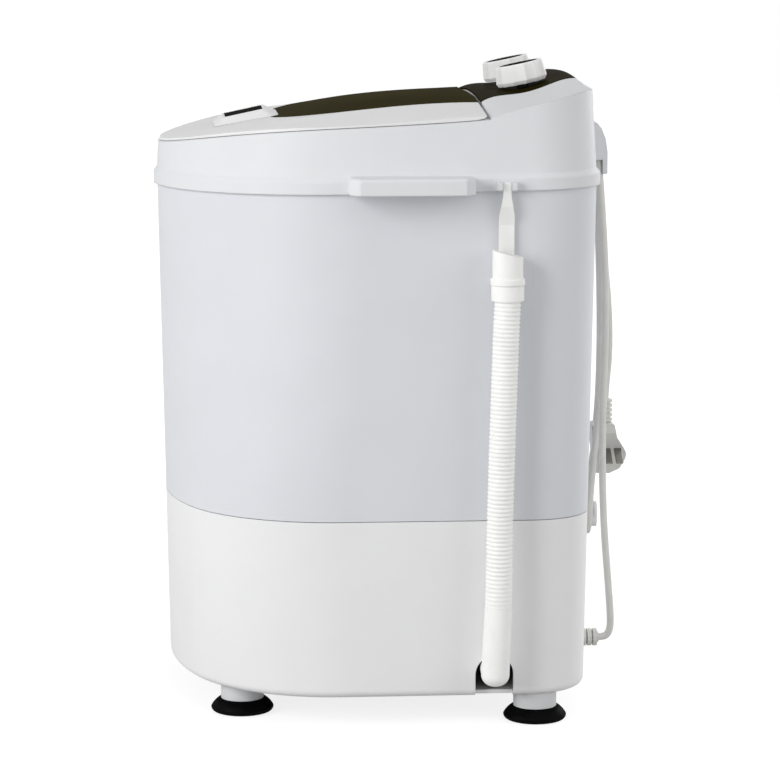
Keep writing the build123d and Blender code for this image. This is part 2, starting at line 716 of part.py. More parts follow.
# Inner drain pipe: down from the tub's outlet, then out through the arch as a nipple
with BuildPart() as drain_pipe:
    with BuildLine(Plane.XZ.offset(-HOSE_Y_LOW)) as pipe_path:
        FilletPolyline(
            (DRAIN_X, underside - 12), (DRAIN_X, NIPPLE_HEIGHT), (HOSE_X - 4, NIPPLE_HEIGHT),
            radius=PIPE_BEND
        )
    with BuildSketch(Plane(origin=(DRAIN_X, HOSE_Y_LOW, underside - 12), z_dir=(0, 0, -1))):
        Circle(NIPPLE_RADIUS)
    sweep(path=pipe_path.wires()[0])
    with BuildSketch(Plane.XY.offset(underside - 32)):
        with Locations((DRAIN_X, HOSE_Y_LOW)):
            Circle(DRAIN_RADIUS + 5)
    extrude(amount=32)
    with BuildSketch(Plane.XY.offset(underside - 12)):
        with Locations((DRAIN_X, HOSE_Y_LOW)):
            Circle(DRAIN_RADIUS + 2)
    extrude(amount=12.5, mode=Mode.SUBTRACT)
    with BuildSketch(Plane(origin=(DRAIN_X, HOSE_Y_LOW, underside - 12), z_dir=(0, 0, -1))):
        Circle(NIPPLE_RADIUS - 1.8)
    sweep(path=pipe_path.wires()[0], mode=Mode.SUBTRACT)
drain_pipe.part.label = "drain_pipe"
export_step(drain_pipe.part, "parts/drain_pipe.step")

# Hose clamp on the inner pipe's collar
with BuildPart() as pipe_clamp:
    with BuildSketch(Plane.XY.offset(underside - 8)):
        with Locations((DRAIN_X, HOSE_Y_LOW)):
            Circle(DRAIN_RADIUS + 6.2)
            Circle(DRAIN_RADIUS + 5, mode=Mode.SUBTRACT)
    extrude(amount=6)
    with BuildSketch(Plane.XY.offset(underside - 8)):
        with Locations((DRAIN_X - DRAIN_RADIUS - 9, HOSE_Y_LOW)):
            Rectangle(7, 5)
    extrude(amount=6)
pipe_clamp.part.label = "pipe_clamp"
export_step(pipe_clamp.part, "parts/pipe_clamp.step")

# Bearing housing under the dish, with its bushes, seal and screws
HOUSING_TOP = DISH_TOP - TUB_FLOOR
with BuildPart() as bearing_housing:
    with BuildSketch(Plane.XZ.offset(-AXIS_Y)):
        with BuildLine():
            Polyline(
                (BUSH_RADIUS, HOUSING_BOTTOM), (HOUSING_RADIUS, HOUSING_BOTTOM),
                (HOUSING_RADIUS, HOUSING_TOP - HOUSING_FLANGE),
                (HOUSING_FLANGE_RADIUS, HOUSING_TOP - HOUSING_FLANGE),
                (HOUSING_FLANGE_RADIUS, HOUSING_TOP), (HUB_BORE_RADIUS, HOUSING_TOP),
                (HUB_BORE_RADIUS, DISH_TOP - 0.4), (SEAL_RADIUS, DISH_TOP - 0.4),
                (SEAL_RADIUS, DISH_TOP - 0.4 - SEAL_LENGTH), (BUSH_RADIUS, DISH_TOP - 0.4 - SEAL_LENGTH),
                (BUSH_RADIUS, HOUSING_BOTTOM),
            )
        make_face()
    revolve(axis=Axis((0, AXIS_Y, 0), (0, 0, 1)))
    # webs under the flange
    with BuildSketch(Plane.XY.offset(HOUSING_TOP - HOUSING_FLANGE - 14)):
        with Locations((0, AXIS_Y)):
            with PolarLocations((HOUSING_RADIUS + HOUSING_FLANGE_RADIUS) / 2 - 3, 6):
                Rectangle(HOUSING_FLANGE_RADIUS - HOUSING_RADIUS - 2, 3)
    extrude(amount=14)
bearing_housing.part.label = "bearing_housing"
export_step(bearing_housing.part, "parts/bearing_housing.step")


def ring(outer, inner, low, length, y=AXIS_Y):
    """A plain ring about the drive axis."""
    with BuildPart() as part:
        with BuildSketch(Plane.XY.offset(low)):
            with Locations((0, y)):
                Circle(outer)
                Circle(inner, mode=Mode.SUBTRACT)
        extrude(amount=length)
    return part.part


upper_bush = ring(
    BUSH_RADIUS, SHAFT_RADIUS + RUNNING_CLEARANCE, DISH_TOP - 0.4 - SEAL_LENGTH - BUSH_LENGTH, BUSH_LENGTH
)
lower_bush = ring(BUSH_RADIUS, SHAFT_RADIUS + RUNNING_CLEARANCE, HOUSING_BOTTOM, BUSH_LENGTH)
shaft_seal = ring(SEAL_RADIUS, SHAFT_RADIUS + RUNNING_CLEARANCE, DISH_TOP - 0.4 - SEAL_LENGTH, SEAL_LENGTH)
for name, piece in (("upper_bush", upper_bush), ("lower_bush", lower_bush), ("shaft_seal", shaft_seal)):
    piece.label = name
    export_step(piece, "parts/" + name + ".step")

with BuildPart() as bearing_screws:
    with BuildSketch(Plane.XY.offset(HOUSING_TOP - HOUSING_FLANGE - 3)):
        with Locations((0, AXIS_Y)):
            with PolarLocations(BEARING_SCREW_PITCH, 6, start_angle=30):
                Circle(4)
    extrude(amount=3)
bearing_screws.part.label = "bearing_screws"
export_step(bearing_screws.part, "parts/bearing_screws.step")

# Pulsator: shallow dome with curved blades
PULSATOR_LOW = DISH_TOP + PULSATOR_CLEARANCE
PULSATOR_PEAK = PULSATOR_LOW + PULSATOR_RIM + PULSATOR_DOME
with BuildPart() as pulsator:
    with BuildSketch(Plane.XZ.offset(-AXIS_Y)):
        with BuildLine():
            Line((SHAFT_RADIUS, PULSATOR_LOW), (PULSATOR_RADIUS, PULSATOR_LOW))
            Line((PULSATOR_RADIUS, PULSATOR_LOW), (PULSATOR_RADIUS, PULSATOR_LOW + PULSATOR_RIM))
            ThreePointArc(
                (PULSATOR_RADIUS, PULSATOR_LOW + PULSATOR_RIM),
                (PULSATOR_RADIUS * 0.55, PULSATOR_LOW + PULSATOR_RIM + PULSATOR_DOME * 0.36),
                (HUB_RADIUS, PULSATOR_PEAK),
            )
            Line((HUB_RADIUS, PULSATOR_PEAK), (SHAFT_RADIUS, PULSATOR_PEAK))
            Line((SHAFT_RADIUS, PULSATOR_PEAK), (SHAFT_RADIUS, PULSATOR_LOW))
        make_face()
    revolve(axis=Axis((0, AXIS_Y, 0), (0, 0, 1)))
    # swept blades that stand on the dome
    blade_low = PULSATOR_LOW + 1
    with BuildSketch(Plane.XY.offset(blade_low)):
        with Locations((0, AXIS_Y)):
            with PolarLocations(0, BLADE_COUNT):
                with Locations((PULSATOR_RADIUS * 0.5, 6)):
                    SlotOverall(PULSATOR_RADIUS * 0.74, 9, rotation=14)
    extrude(amount=PULSATOR_RIM + BLADE_HEIGHT)
    fillet(pulsator.faces().filter_by(Plane.XY).group_by(Axis.Z)[-2].edges(), 2)
pulsator.part.label = "pulsator"
export_step(pulsator.part, "parts/pulsator.step")

with BuildPart() as pulsator_shaft:
    with BuildSketch(Plane.XY.offset(SHAFT_BOTTOM)):
        with Locations((0, AXIS_Y)):
            Circle(SHAFT_RADIUS)
    extrude(amount=SHAFT_TOP - SHAFT_BOTTOM)
    chamfer(pulsator_shaft.faces().sort_by(Axis.Z)[0].edges(), 0.8)
pulsator_shaft.part.label = "pulsator_shaft"
export_step(pulsator_shaft.part, "parts/pulsator_shaft.step")

with BuildPart() as pulsator_screw:
    with BuildSketch(Plane.XY.offset(PULSATOR_PEAK)):
        with Locations((0, AXIS_Y)):
            Circle(9)
    extrude(amount=4)
    fillet(pulsator_screw.faces().sort_by(Axis.Z)[-1].edges(), 1.5)
    with BuildSketch(Plane.XY.offset(SHAFT_TOP)):
        with Locations((0, AXIS_Y)):
            Circle(3)
    extrude(amount=PULSATOR_PEAK - SHAFT_TOP)
    with BuildSketch(Plane.XY.offset(PULSATOR_PEAK + 2)):
        with Locations((0, AXIS_Y)):
            Rectangle(10, 1.8)
            Rectangle(1.8, 10)
    extrude(amount=3, mode=Mode.SUBTRACT)
pulsator_screw.part.label = "pulsator_screw"
export_step(pulsator_screw.part, "parts/pulsator_screw.step")


def grooved_pulley(radius, hub_radius, bore, y, web):
    """A V-groove pulley: rim with the groove, thin web where it is large, hub and bore."""
    low = BELT_HEIGHT - PULLEY_WIDTH / 2
    high = BELT_HEIGHT + PULLEY_WIDTH / 2
    mouth = BELT_WIDTH / 2 + BELT_SIDE_GAP
    throat = mouth - 2.2
    depth = BELT_DEPTH + 1.5
    with BuildPart() as part:
        with BuildSketch(Plane.XZ.offset(-y)):
            with BuildLine():
                Polyline(
                    (bore, low), (radius, low), (radius, BELT_HEIGHT - mouth),
                    (radius - depth, BELT_HEIGHT - throat), (radius - depth, BELT_HEIGHT + throat),
                    (radius, BELT_HEIGHT + mouth), (radius, high), (bore, high), (bore, low),
                )
            make_face()
            if web:
                inner = radius - depth - 4
                for side in (-1, 1):
                    middle = (hub_radius + inner) / 2
                    with Locations((middle, BELT_HEIGHT + side * (PULLEY_WIDTH / 4 + 1))):
                        Rectangle(inner - hub_radius, PULLEY_WIDTH / 2 - 2, mode=Mode.SUBTRACT)
        revolve(axis=Axis((0, y, 0), (0, 0, 1)))
        if web:
            with BuildSketch(Plane.XY.offset(low - 1)):
                with Locations((0, y)):
                    with PolarLocations((hub_radius + inner) / 2, 5):
                        Circle((inner - hub_radius) / 2 - 6)
            extrude(amount=PULLEY_WIDTH + 2, mode=Mode.SUBTRACT)
    return part.part


large_pulley = grooved_pulley(PULLEY_RADIUS, 16, SHAFT_RADIUS, AXIS_Y, True)
large_pulley.label = "large_pulley"
export_step(large_pulley, "parts/large_pulley.step")
motor_pulley = grooved_pulley(MOTOR_PULLEY_RADIUS, 10, MOTOR_SHAFT_RADIUS, MOTOR_Y, False)
motor_pulley.label = "motor_pulley"
export_step(motor_pulley, "parts/motor_pulley.step")

with BuildPart() as pulley_nut:
    with BuildSketch(Plane.XY.offset(SHAFT_BOTTOM + 0.5)):
        with Locations((0, AXIS_Y)):
            RegularPolygon(10, 6)
            Circle(SHAFT_RADIUS, mode=Mode.SUBTRACT)
    extrude(amount=BELT_HEIGHT - PULLEY_WIDTH / 2 - SHAFT_BOTTOM - 0.5)
pulley_nut.part.label = "pulley_nut"
export_step(pulley_nut.part, "parts/pulley_nut.step")

# V-belt: two tangents and two arcs, narrower towards the inside
BELT_OUTER = 0.6
BELT_INNER_HALF = BELT_WIDTH / 2 - 1.8


def belt_plan(height, reach):
    """Outline round both pulleys, a reach outside their rims."""
    with BuildSketch(Plane.XY.offset(height)) as plan:
        with Locations((0, AXIS_Y)):
            Circle(PULLEY_RADIUS + reach)
        with Locations((0, MOTOR_Y)):
            Circle(MOTOR_PULLEY_RADIUS + reach)
        make_hull()
    return plan.sketch


with BuildPart() as drive_belt:
    extrude(belt_plan(BELT_HEIGHT - BELT_WIDTH / 2, BELT_OUTER), amount=BELT_WIDTH)
    extrude(
        belt_plan(BELT_HEIGHT - BELT_INNER_HALF, -BELT_DEPTH), amount=2 * BELT_INNER_HALF,
        mode=Mode.SUBTRACT
    )
    for side in (-1, 1):
        loft([
            belt_plan(BELT_HEIGHT + side * BELT_INNER_HALF, -BELT_DEPTH),
            belt_plan(BELT_HEIGHT + side * BELT_WIDTH / 2, BELT_OUTER - 0.3),
        ], ruled=True, mode=Mode.SUBTRACT)
drive_belt.part.label = "drive_belt"
export_step(drive_belt.part, "parts/drive_belt.step")

# Motor with its rotor shaft, rubber mounts and screws
with BuildPart() as motor:
    with BuildSketch(Plane.XY.offset(MOTOR_LOW)):
        with Locations((0, MOTOR_Y)):
            Circle(MOTOR_RADIUS)
    extrude(amount=MOTOR_HIGH - MOTOR_LOW)
    chamfer(motor.faces().filter_by(Plane.XY).edges(), 5)
    for centre in MOTOR_EARS:
        with BuildSketch(Plane.XY.offset(MOTOR_LOW + 6)):
            with Locations(centre, (centre[0] * 0.78, MOTOR_Y + (centre[1] - MOTOR_Y) * 0.78)):
                Circle(MOUNT_RADIUS)
            make_hull()
        extrude(amount=4)
    with BuildSketch(Plane.XY.offset(MOTOR_LOW - 1)):
        with Locations((0, MOTOR_Y)):
            Circle(MOTOR_SHAFT_RADIUS + RUNNING_CLEARANCE)
    extrude(amount=MOTOR_HIGH - MOTOR_LOW + 2, mode=Mode.SUBTRACT)
    with BuildSketch(Plane.XY.offset(MOTOR_LOW - 1)):
        with Locations(*MOTOR_EARS):
            Circle(3)
    extrude(amount=20, mode=Mode.SUBTRACT)
motor.part.label = "motor"
export_step(motor.part, "parts/motor.step")

with BuildPart() as rotor_shaft:
    with BuildSketch(Plane.XY.offset(MOTOR_LOW - 3)):
        with Locations((0, MOTOR_Y)):
            Circle(MOTOR_SHAFT_RADIUS)
    extrude(amount=BELT_HEIGHT + PULLEY_WIDTH / 2 + 4 - MOTOR_LOW + 3)
rotor_shaft.part.label = "rotor_shaft"
export_step(rotor_shaft.part, "parts/rotor_shaft.step")

with BuildPart() as motor_mounts:
    with BuildSketch(Plane.XY.offset(PILLAR_TOP)):
        with Locations(*MOTOR_EARS):
            Circle(MOUNT_RADIUS - 1)
            Circle(3, mode=Mode.SUBTRACT)
    extrude(amount=MOTOR_LOW + 6 - PILLAR_TOP)
motor_mounts.part.label = "motor_mounts"
export_step(motor_mounts.part, "parts/motor_mounts.step")

with BuildPart() as motor_screws:
    with BuildSketch(Plane.XY.offset(PILLAR_TOP)):
        with Locations(*MOTOR_EARS):
            Circle(2.9)
    extrude(amount=MOTOR_LOW + 10 - PILLAR_TOP)
    with BuildSketch(Plane.XY.offset(MOTOR_LOW + 10)):
        with Locations(*MOTOR_EARS):
            RegularPolygon(6, 6)
    extrude(amount=4)
motor_screws.part.label = "motor_screws"
export_step(motor_screws.part, "parts/motor_screws.step")

# Capacitor in its clamp
PAD_TOP = FLOOR_TOP + PAD_HEIGHT
CAPACITOR_HEIGHT = PAD_TOP + CAPACITOR_RADIUS + CLAMP_THICKNESS
with BuildPart() as capacitor:
    with BuildSketch(Plane.XZ.offset(-CAPACITOR_Y - CAPACITOR_LENGTH / 2)):
        with Locations((CAPACITOR_X, CAPACITOR_HEIGHT)):
            Circle(CAPACITOR_RADIUS)
    extrude(amount=CAPACITOR_LENGTH)
    chamfer(capacitor.faces().filter_by(Plane.XZ).edges(), 1.5)
capacitor.part.label = "capacitor"
export_step(capacitor.part, "parts/capacitor.step")

with BuildPart() as capacitor_clamp:
    with BuildSketch(Plane.XZ.offset(-CAPACITOR_Y - CLAMP_WIDTH / 2)):
        with Locations((CAPACITOR_X, CAPACITOR_HEIGHT)):
            Circle(CAPACITOR_RADIUS + CLAMP_THICKNESS)
        with Locations((CAPACITOR_X, PAD_TOP + CLAMP_THICKNESS / 2)):
            Rectangle(CLAMP_LENGTH, CLAMP_THICKNESS)
        with Locations((CAPACITOR_X, CAPACITOR_HEIGHT)):
            Circle(CAPACITOR_RADIUS, mode=Mode.SUBTRACT)
    extrude(amount=CLAMP_WIDTH)
capacitor_clamp.part.label = "capacitor_clamp"
export_step(capacitor_clamp.part, "parts/capacitor_clamp.step")

# Top frame: rim band, leaning wall, deck with the loading opening, console housing, carry handles
RIM_OUTER = grow_at(RIM_LOW) + RIM_GROW
RIM_SLOPE = math.tan(math.radians(RIM_TILT))
HANDLE_LOW = RIM_LOW
HANDLE_REACH = BODY_HALF_WIDTH + RIM_OUTER + HANDLE_DEPTH


def between(y_from, y_to, low=380.0, high=560.0):
    """A wide slab between two stations, used to keep part of a volume."""
    with BuildPart() as slab:
        with BuildSketch(Plane.XY.offset(low)):
            with Locations((0, (y_from + y_to) / 2)):
                Rectangle(500, y_to - y_from)
        extrude(amount=high - low)
    return slab.part


def upper_block(inset, top=UPPER_WALL_TOP):
    """The leaning wall's outline from inside the rim upwards, set in by an amount."""
    low = COVE_HIGH - RIM_OVERLAP
    return body_block(low, upper_grow_at(low) - inset, top, upper_grow_at(top) - inset)


def inlay_block(gap=0.0):
    """Plan outline of the dark console inlay, drawn up as a prism: narrower towards the back."""
    front_half = CONSOLE_STATIONS[0][1] - 1 + gap
    back_half = CONSOLE_STATIONS[-1][1] + gap
    front = CONSOLE_FRONT
    back = INLAY_BACK + gap
    with BuildPart() as block:
        with BuildSketch(Plane.XY.offset(470)) as plan:
            with BuildLine():
                Line((-back_half, back), (-front_half, front))
                Line((-front_half, front), (front_half, front))
                Line((front_half, front), (back_half, back))
                ThreePointArc((back_half, back), (0, back + INLAY_BULGE), (-back_half, back))
            make_face()
            fillet([v for v in plan.vertices() if v.Y > back - 1], INLAY_CORNER)
        extrude(amount=60)
    return block.part


def knob_plane(side, along=0.0):
    """Plane square to a knob's axis, a distance along it from the seat on the console."""
    tilt = math.radians(KNOB_TILT)
    seat = Plane(
        origin=(side * KNOB_X, KNOB_Y, KNOB_Z), x_dir=(1, 0, 0), z_dir=(0, -math.sin(tilt), math.cos(tilt))
    )
    return seat.offset(along)


def handle_plan(height, side, root, inset):
    """Plan of a carry handle, set in by an amount: straight grip with bevelled and rounded ends."""
    front = HANDLE_FRONT + inset
    back = HANDLE_BACK - inset
    reach = HANDLE_REACH - inset
    shoulder = reach - HANDLE_BEVEL - HANDLE_BEVEL_RUN
    with BuildSketch(Plane.XY.offset(height)) as plan:
        with BuildLine():
            Polyline(
                (side * root, front), (side * shoulder, front), (side * reach, front + HANDLE_BEVEL),
                (side * reach, back - HANDLE_BEVEL), (side * shoulder, back), (side * root, back),
                (side * root, front),
            )
        make_face()
        fillet([v for v in plan.vertices() if abs(v.X) > shoulder - 0.1], HANDLE_CORNER)
    return plan.sketch


DECK_EDGE = line_height(DECK_LINE, CONSOLE_FRONT)
load_sketch = rounded_front_sketch(
    RIM_LOW - 10, LOAD_HALF_WIDTH, LOAD_FRONT, LOAD_BACK, LOAD_CORNER, LOAD_REAR_CORNER
)
load_outer = rounded_front_sketch(
    COLLAR_LOW, LOAD_HALF_WIDTH + WALL, LOAD_FRONT - WALL, LOAD_BACK + WALL,
    LOAD_CORNER + WALL, LOAD_REAR_CORNER + WALL,
)
console_top = console_volume()
with BuildPart() as housing_top:
    add(under_line(DECK_LINE, 0.0, -192, CONSOLE_FRONT))
    add(console_top)
with BuildPart() as console_cavity:
    add(console_volume(CONSOLE_SKIN))
    add(between(CONSOLE_FRONT + PARTITION, 200), mode=Mode.INTERSECT)
with BuildPart() as housing_cavity:
    add(under_line(DECK_LINE, DECK, -192, CONSOLE_FRONT + PARTITION))
    add(console_cavity.part)
    add(upper_block(WALL), mode=Mode.INTERSECT)

with BuildPart() as load_collar:
    extrude(load_outer, amount=40)
    extrude(load_sketch, amount=120, mode=Mode.SUBTRACT)
    add(under_line(DECK_LINE, 0.6, -192, CONSOLE_FRONT), mode=Mode.INTERSECT)

with BuildPart() as inlay_seat:
    add(inlay_block(INLAY_GAP))
    add(console_volume(-2), mode=Mode.INTERSECT)
    add(console_volume(INLAY_THICKNESS), mode=Mode.SUBTRACT)

HINGE_SIDES = (-1, 1)
with BuildPart() as rim_band:
    add(body_block(RIM_LOW, RIM_OUTER, RIM_HIGH, RIM_OUTER, RIM_TILT))
    add(body_block(RIM_HIGH, RIM_OUTER, COVE_HIGH, upper_grow_at(COVE_HIGH) - FIT_GAP, RIM_TILT))
    rim_crease = [
        edge for edge in rim_band.edges()
        if all(abs(v.Z - RIM_HIGH - v.Y * RIM_SLOPE) < 0.01 for v in edge.vertices())
    ]
    fillet(rim_crease, RIM_ROUND)

RIM_CLEAR = RIM_LOW - RIM_OVERLAP
with BuildPart() as carry_grips:
    for side in (-1, 1):
        extrude(handle_plan(HANDLE_LOW, side, BODY_HALF_WIDTH, 0), amount=HANDLE_HIGH - HANDLE_LOW)
    grip_edges = carry_grips.faces().filter_by(Plane.XY).group_by(Axis.Z)[-1].edges()
    fillet([edge for edge in grip_edges if abs(edge.center().X) > BODY_HALF_WIDTH + 1], HANDLE_ROUND)

with BuildPart() as top_frame:
    add(upper_block(0))
    add(housing_top.part, mode=Mode.INTERSECT)
    add(rim_band.part)
    # carry handles, hollow from below
    add(carry_grips.part)
    for side in (-1, 1):
        hollow = handle_plan(HANDLE_LOW - 1, side, BODY_HALF_WIDTH + RIM_OUTER, HANDLE_WALL)
        extrude(hollow, amount=HANDLE_HIGH - HANDLE_LOW - HANDLE_ROOF + 1, mode=Mode.SUBTRACT)
    # inside of the moulding
    add(
        body_block(RIM_CLEAR, grow_at(TUB_TOP) - WALL, COVE_HIGH, upper_grow_at(COVE_HIGH) - WALL),
        mode=Mode.SUBTRACT,
    )
    add(
        body_block(
            RIM_CLEAR, grow_at(RIM_CLEAR) + FIT_GAP, TUB_TOP, grow_at(TUB_TOP) + FIT_GAP
        ),
        mode=Mode.SUBTRACT,
    )
    add(housing_cavity.part, mode=Mode.SUBTRACT)
    extrude(load_sketch, amount=120, mode=Mode.SUBTRACT)
    add(load_collar.part)
    # seat of the dark inlay
    add(inlay_seat.part, mode=Mode.SUBTRACT)
    # knob shaft holes
    for side in (-1, 1):
        with BuildSketch(knob_plane(side, -12)):
            Circle(NECK_RADIUS)
        extrude(amount=24, mode=Mode.SUBTRACT)
    # hinge posts that stand on the deck inside the lid's rear edge
    for side in HINGE_SIDES:
        with BuildSketch(Plane.YZ.offset(side * HINGE_X - LUG_THICKNESS / 2)):
            with Locations((HINGE_Y, HINGE_Z)):
                Circle(LUG_NOSE_RADIUS)
            with BuildLine():
                Polyline(
                    (HINGE_Y - LUG_SETBACK, HINGE_Z), (HINGE_Y - LUG_SETBACK, DECK_EDGE - 2),
                    (LUG_BACK, DECK_EDGE - 2), (HINGE_Y + LUG_WAIST, HINGE_Z - LUG_WAIST_DROP),
                    (HINGE_Y + LUG_WAIST, HINGE_Z), (HINGE_Y - LUG_SETBACK, HINGE_Z),
                )
            make_face()
            with Locations((HINGE_Y, HINGE_Z)):
                Circle(PIN_RADIUS + PIN_CLEARANCE, mode=Mode.SUBTRACT)
        extrude(amount=LUG_THICKNESS)
top_frame.part.label = "top_frame"
export_step(top_frame.part, "parts/top_frame.step")

# Clip on the rim that takes the neck of the hose's tongue
CLIP_FACE = BODY_HALF_WIDTH + RIM_OUTER
with BuildPart() as hose_clip:
    with BuildSketch(Plane.XY.offset(RIM_LOW + CUFF_Y * RIM_SLOPE + CLIP_MARGIN)):
        with Locations((CLIP_FACE + CLIP_PLATE / 2, CUFF_Y)):
            Rectangle(CLIP_PLATE, CLIP_SLOT + 2 * CLIP_TAB)
        for side in (-1, 1):
            with Locations((CLIP_FACE + CLIP_REACH / 2, CUFF_Y + side * (CLIP_SLOT + CLIP_TAB) / 2)):
                Rectangle(CLIP_REACH, CLIP_TAB)
    extrude(amount=CLIP_HEIGHT)
    chamfer(hose_clip.edges().filter_by(Axis.Y).group_by(Axis.X)[-1], 1.0)
hose_clip.part.label = "hose_clip"
export_step(hose_clip.part, "parts/hose_clip.step")


# Lid: frame, smoked window, raised tab with its bare plate, hinge pins
def lid_rear_profile(limit):
    """Side profile that keeps the lid clear of the console and the deck as it swings: rounded rear edge."""
    with BuildSketch(Plane.YZ.offset(-230)) as profile:
        with Locations(((HINGE_Y - 230) / 2, 470)):
            Rectangle(HINGE_Y + 230, 200)
        with Locations((HINGE_Y, HINGE_Z)):
            Circle(REAR_LOW_RADIUS)
        with Locations((HINGE_Y + 20, HINGE_Z + 20)):
            Rectangle(40, 40, mode=Mode.SUBTRACT)
        with Locations((HINGE_Y, HINGE_Z)):
            Circle(REAR_TOP_RADIUS)
        with Locations((limit + 20, HINGE_Z)):
            Rectangle(40, 60, mode=Mode.SUBTRACT)
    return profile.sketch


def lid_limits(limit):
    """The volume behind which nothing of the lid reaches."""
    with BuildPart() as block:
        extrude(lid_rear_profile(limit), amount=460)
    return block.part


def window_prism(inset):
    """The window's plan drawn up as a prism, set in by an amount all round but the rear."""
    plan = rounded_front_sketch(
        440, WINDOW_HALF_WIDTH - inset, WINDOW_FRONT + inset, 90, WINDOW_CORNER - inset, 0
    )
    with BuildPart() as prism:
        extrude(plan, amount=80)
    return prism.part


def tab_outline(height, half, front, back, corner):
    """Rounded rectangle on the tab's tilted plane, at a height above the lid."""
    plane = Plane(
        origin=(0, (TAB_FRONT + TAB_BACK) / 2, TAB_BASE_HEIGHT), x_dir=(1, 0, 0),
        z_dir=(0, -math.sin(math.radians(TAB_TILT)), math.cos(math.radians(TAB_TILT))),
    ).offset(height)
    with BuildSketch(plane) as outline:
        with Locations((0, (front + back) / 2 - (TAB_FRONT + TAB_BACK) / 2)):
            RectangleRounded(2 * half, back - front, corner)
    return outline.sketch


def tab_block(gap):
    """The tab before its plate is let in: tapering sides that run down into the lid, grown by a gap."""
    spread = TAB_ROOT / TAB_HEIGHT
    with BuildPart() as block:
        loft([
            tab_outline(
                -TAB_ROOT, TAB_HALF_WIDTH + spread * (TAB_HALF_WIDTH - TAB_TOP_HALF_WIDTH) + gap,
                TAB_FRONT - spread * (TAB_TOP_FRONT - TAB_FRONT) - gap,
                TAB_BACK + spread * (TAB_BACK - TAB_TOP_BACK) + gap,
                TAB_CORNER + spread * (TAB_CORNER - TAB_TOP_CORNER) + gap,
            ),
            tab_outline(
                TAB_HEIGHT, TAB_TOP_HALF_WIDTH + gap, TAB_TOP_FRONT - gap, TAB_TOP_BACK + gap,
                TAB_TOP_CORNER + gap,
            ),
        ])
    return block.part


def tab_footprint(gap):
    """Upright prism of the tab's outline, grown by a gap."""
    with BuildPart() as prism:
        with BuildSketch(Plane.XY.offset(440)):
            with Locations((0, (TAB_FRONT + TAB_BACK) / 2)):
                RectangleRounded(
                    2 * (TAB_HALF_WIDTH + gap - TAB_OVERLAP),
                    TAB_BACK - TAB_FRONT + 2 * (gap - TAB_OVERLAP),
                    TAB_CORNER + gap - TAB_OVERLAP,
                )
        extrude(amount=80)
    return prism.part


lid_top = lid_volume()
window_under = window_volume(WINDOW_THICKNESS)
with BuildPart() as window_hole:
    add(window_prism(-WINDOW_GAP))
    add(tab_footprint(0), mode=Mode.SUBTRACT)
with BuildPart() as lid_ledge:
    add(window_prism(-2))
    add(window_under, mode=Mode.INTERSECT)
    add(window_volume(WINDOW_THICKNESS + LID_SKIN), mode=Mode.SUBTRACT)
    add(window_prism(WINDOW_LEDGE), mode=Mode.SUBTRACT)
    add(between(-200, 90), mode=Mode.INTERSECT)
    add(tab_footprint(0), mode=Mode.SUBTRACT)
with BuildPart() as lid_bar:
    add(between(LID_REAR - LID_BAR, 90))
    add(window_prism(-2), mode=Mode.INTERSECT)
    add(window_under, mode=Mode.INTERSECT)
with BuildPart() as lid_hollow:
    add(lid_volume(LID_SKIN))
    add(upper_block(LID_SIDE_GAP + LID_EDGE), mode=Mode.INTERSECT)
    add(between(-200, LID_REAR - LID_SKIN), mode=Mode.INTERSECT)
deck_under_lid = under_line(DECK_LINE, -LID_REST_GAP, -192, 80)
lid_rear = lid_limits(LID_REAR)

with BuildPart() as lid_frame:
    add(lid_top)
    add(upper_block(LID_SIDE_GAP), mode=Mode.INTERSECT)
    add(lid_hollow.part, mode=Mode.SUBTRACT)
    add(window_hole.part, mode=Mode.SUBTRACT)
    add(lid_ledge.part)
    add(lid_bar.part)
    add(deck_under_lid, mode=Mode.SUBTRACT)
    add(lid_rear, mode=Mode.INTERSECT)
    for side in HINGE_SIDES:
        # pocket for the hinge post, open below and behind
        with BuildSketch(Plane.YZ.offset(side * HINGE_X - LUG_THICKNESS / 2 - LUG_GAP)):
            with Locations((HINGE_Y, HINGE_Z)):
                Circle(LUG_NOSE_RADIUS + LUG_GAP)
            with BuildLine():
                front = HINGE_Y - LUG_NOSE_RADIUS - LUG_GAP
                top = HINGE_Z + LUG_NOSE_RADIUS + LUG_GAP
                Polyline(
                    (front, HINGE_Z), (front, LUG_CUT_LOW), (LUG_CUT_BACK, LUG_CUT_LOW), (LUG_CUT_BACK, top),
                    (HINGE_Y, top), (front, HINGE_Z),
                )
            make_face()
        extrude(amount=LUG_THICKNESS + 2 * LUG_GAP, mode=Mode.SUBTRACT)
        with BuildSketch(Plane.YZ.offset(side * HINGE_X - PIN_LENGTH / 2)):
            with Locations((HINGE_Y, HINGE_Z)):
                Circle(PIN_RADIUS)
        extrude(amount=PIN_LENGTH, mode=Mode.SUBTRACT)
lid_frame.part.label = "lid_frame"
export_step(lid_frame.part, "parts/lid_frame.step")

with BuildPart() as lid_window:
    add(window_prism(0))
    add(tab_footprint(WINDOW_GAP), mode=Mode.SUBTRACT)
    add(tab_block(WINDOW_GAP), mode=Mode.SUBTRACT)
    add(window_volume(), mode=Mode.INTERSECT)
    add(window_under, mode=Mode.SUBTRACT)
    add(lid_limits(LID_REAR - WINDOW_GAP), mode=Mode.INTERSECT)
lid_window.part.label = "lid_window"
export_step(lid_window.part, "parts/lid_window.step")

with BuildPart() as lid_hinge_pins:
    for side in HINGE_SIDES:
        with BuildSketch(Plane.YZ.offset(side * HINGE_X - PIN_LENGTH / 2)):
            with Locations((HINGE_Y, HINGE_Z)):
                Circle(PIN_RADIUS)
        extrude(amount=PIN_LENGTH)
lid_hinge_pins.part.label = "lid_hinge_pins"
export_step(lid_hinge_pins.part, "parts/lid_hinge_pins.step")

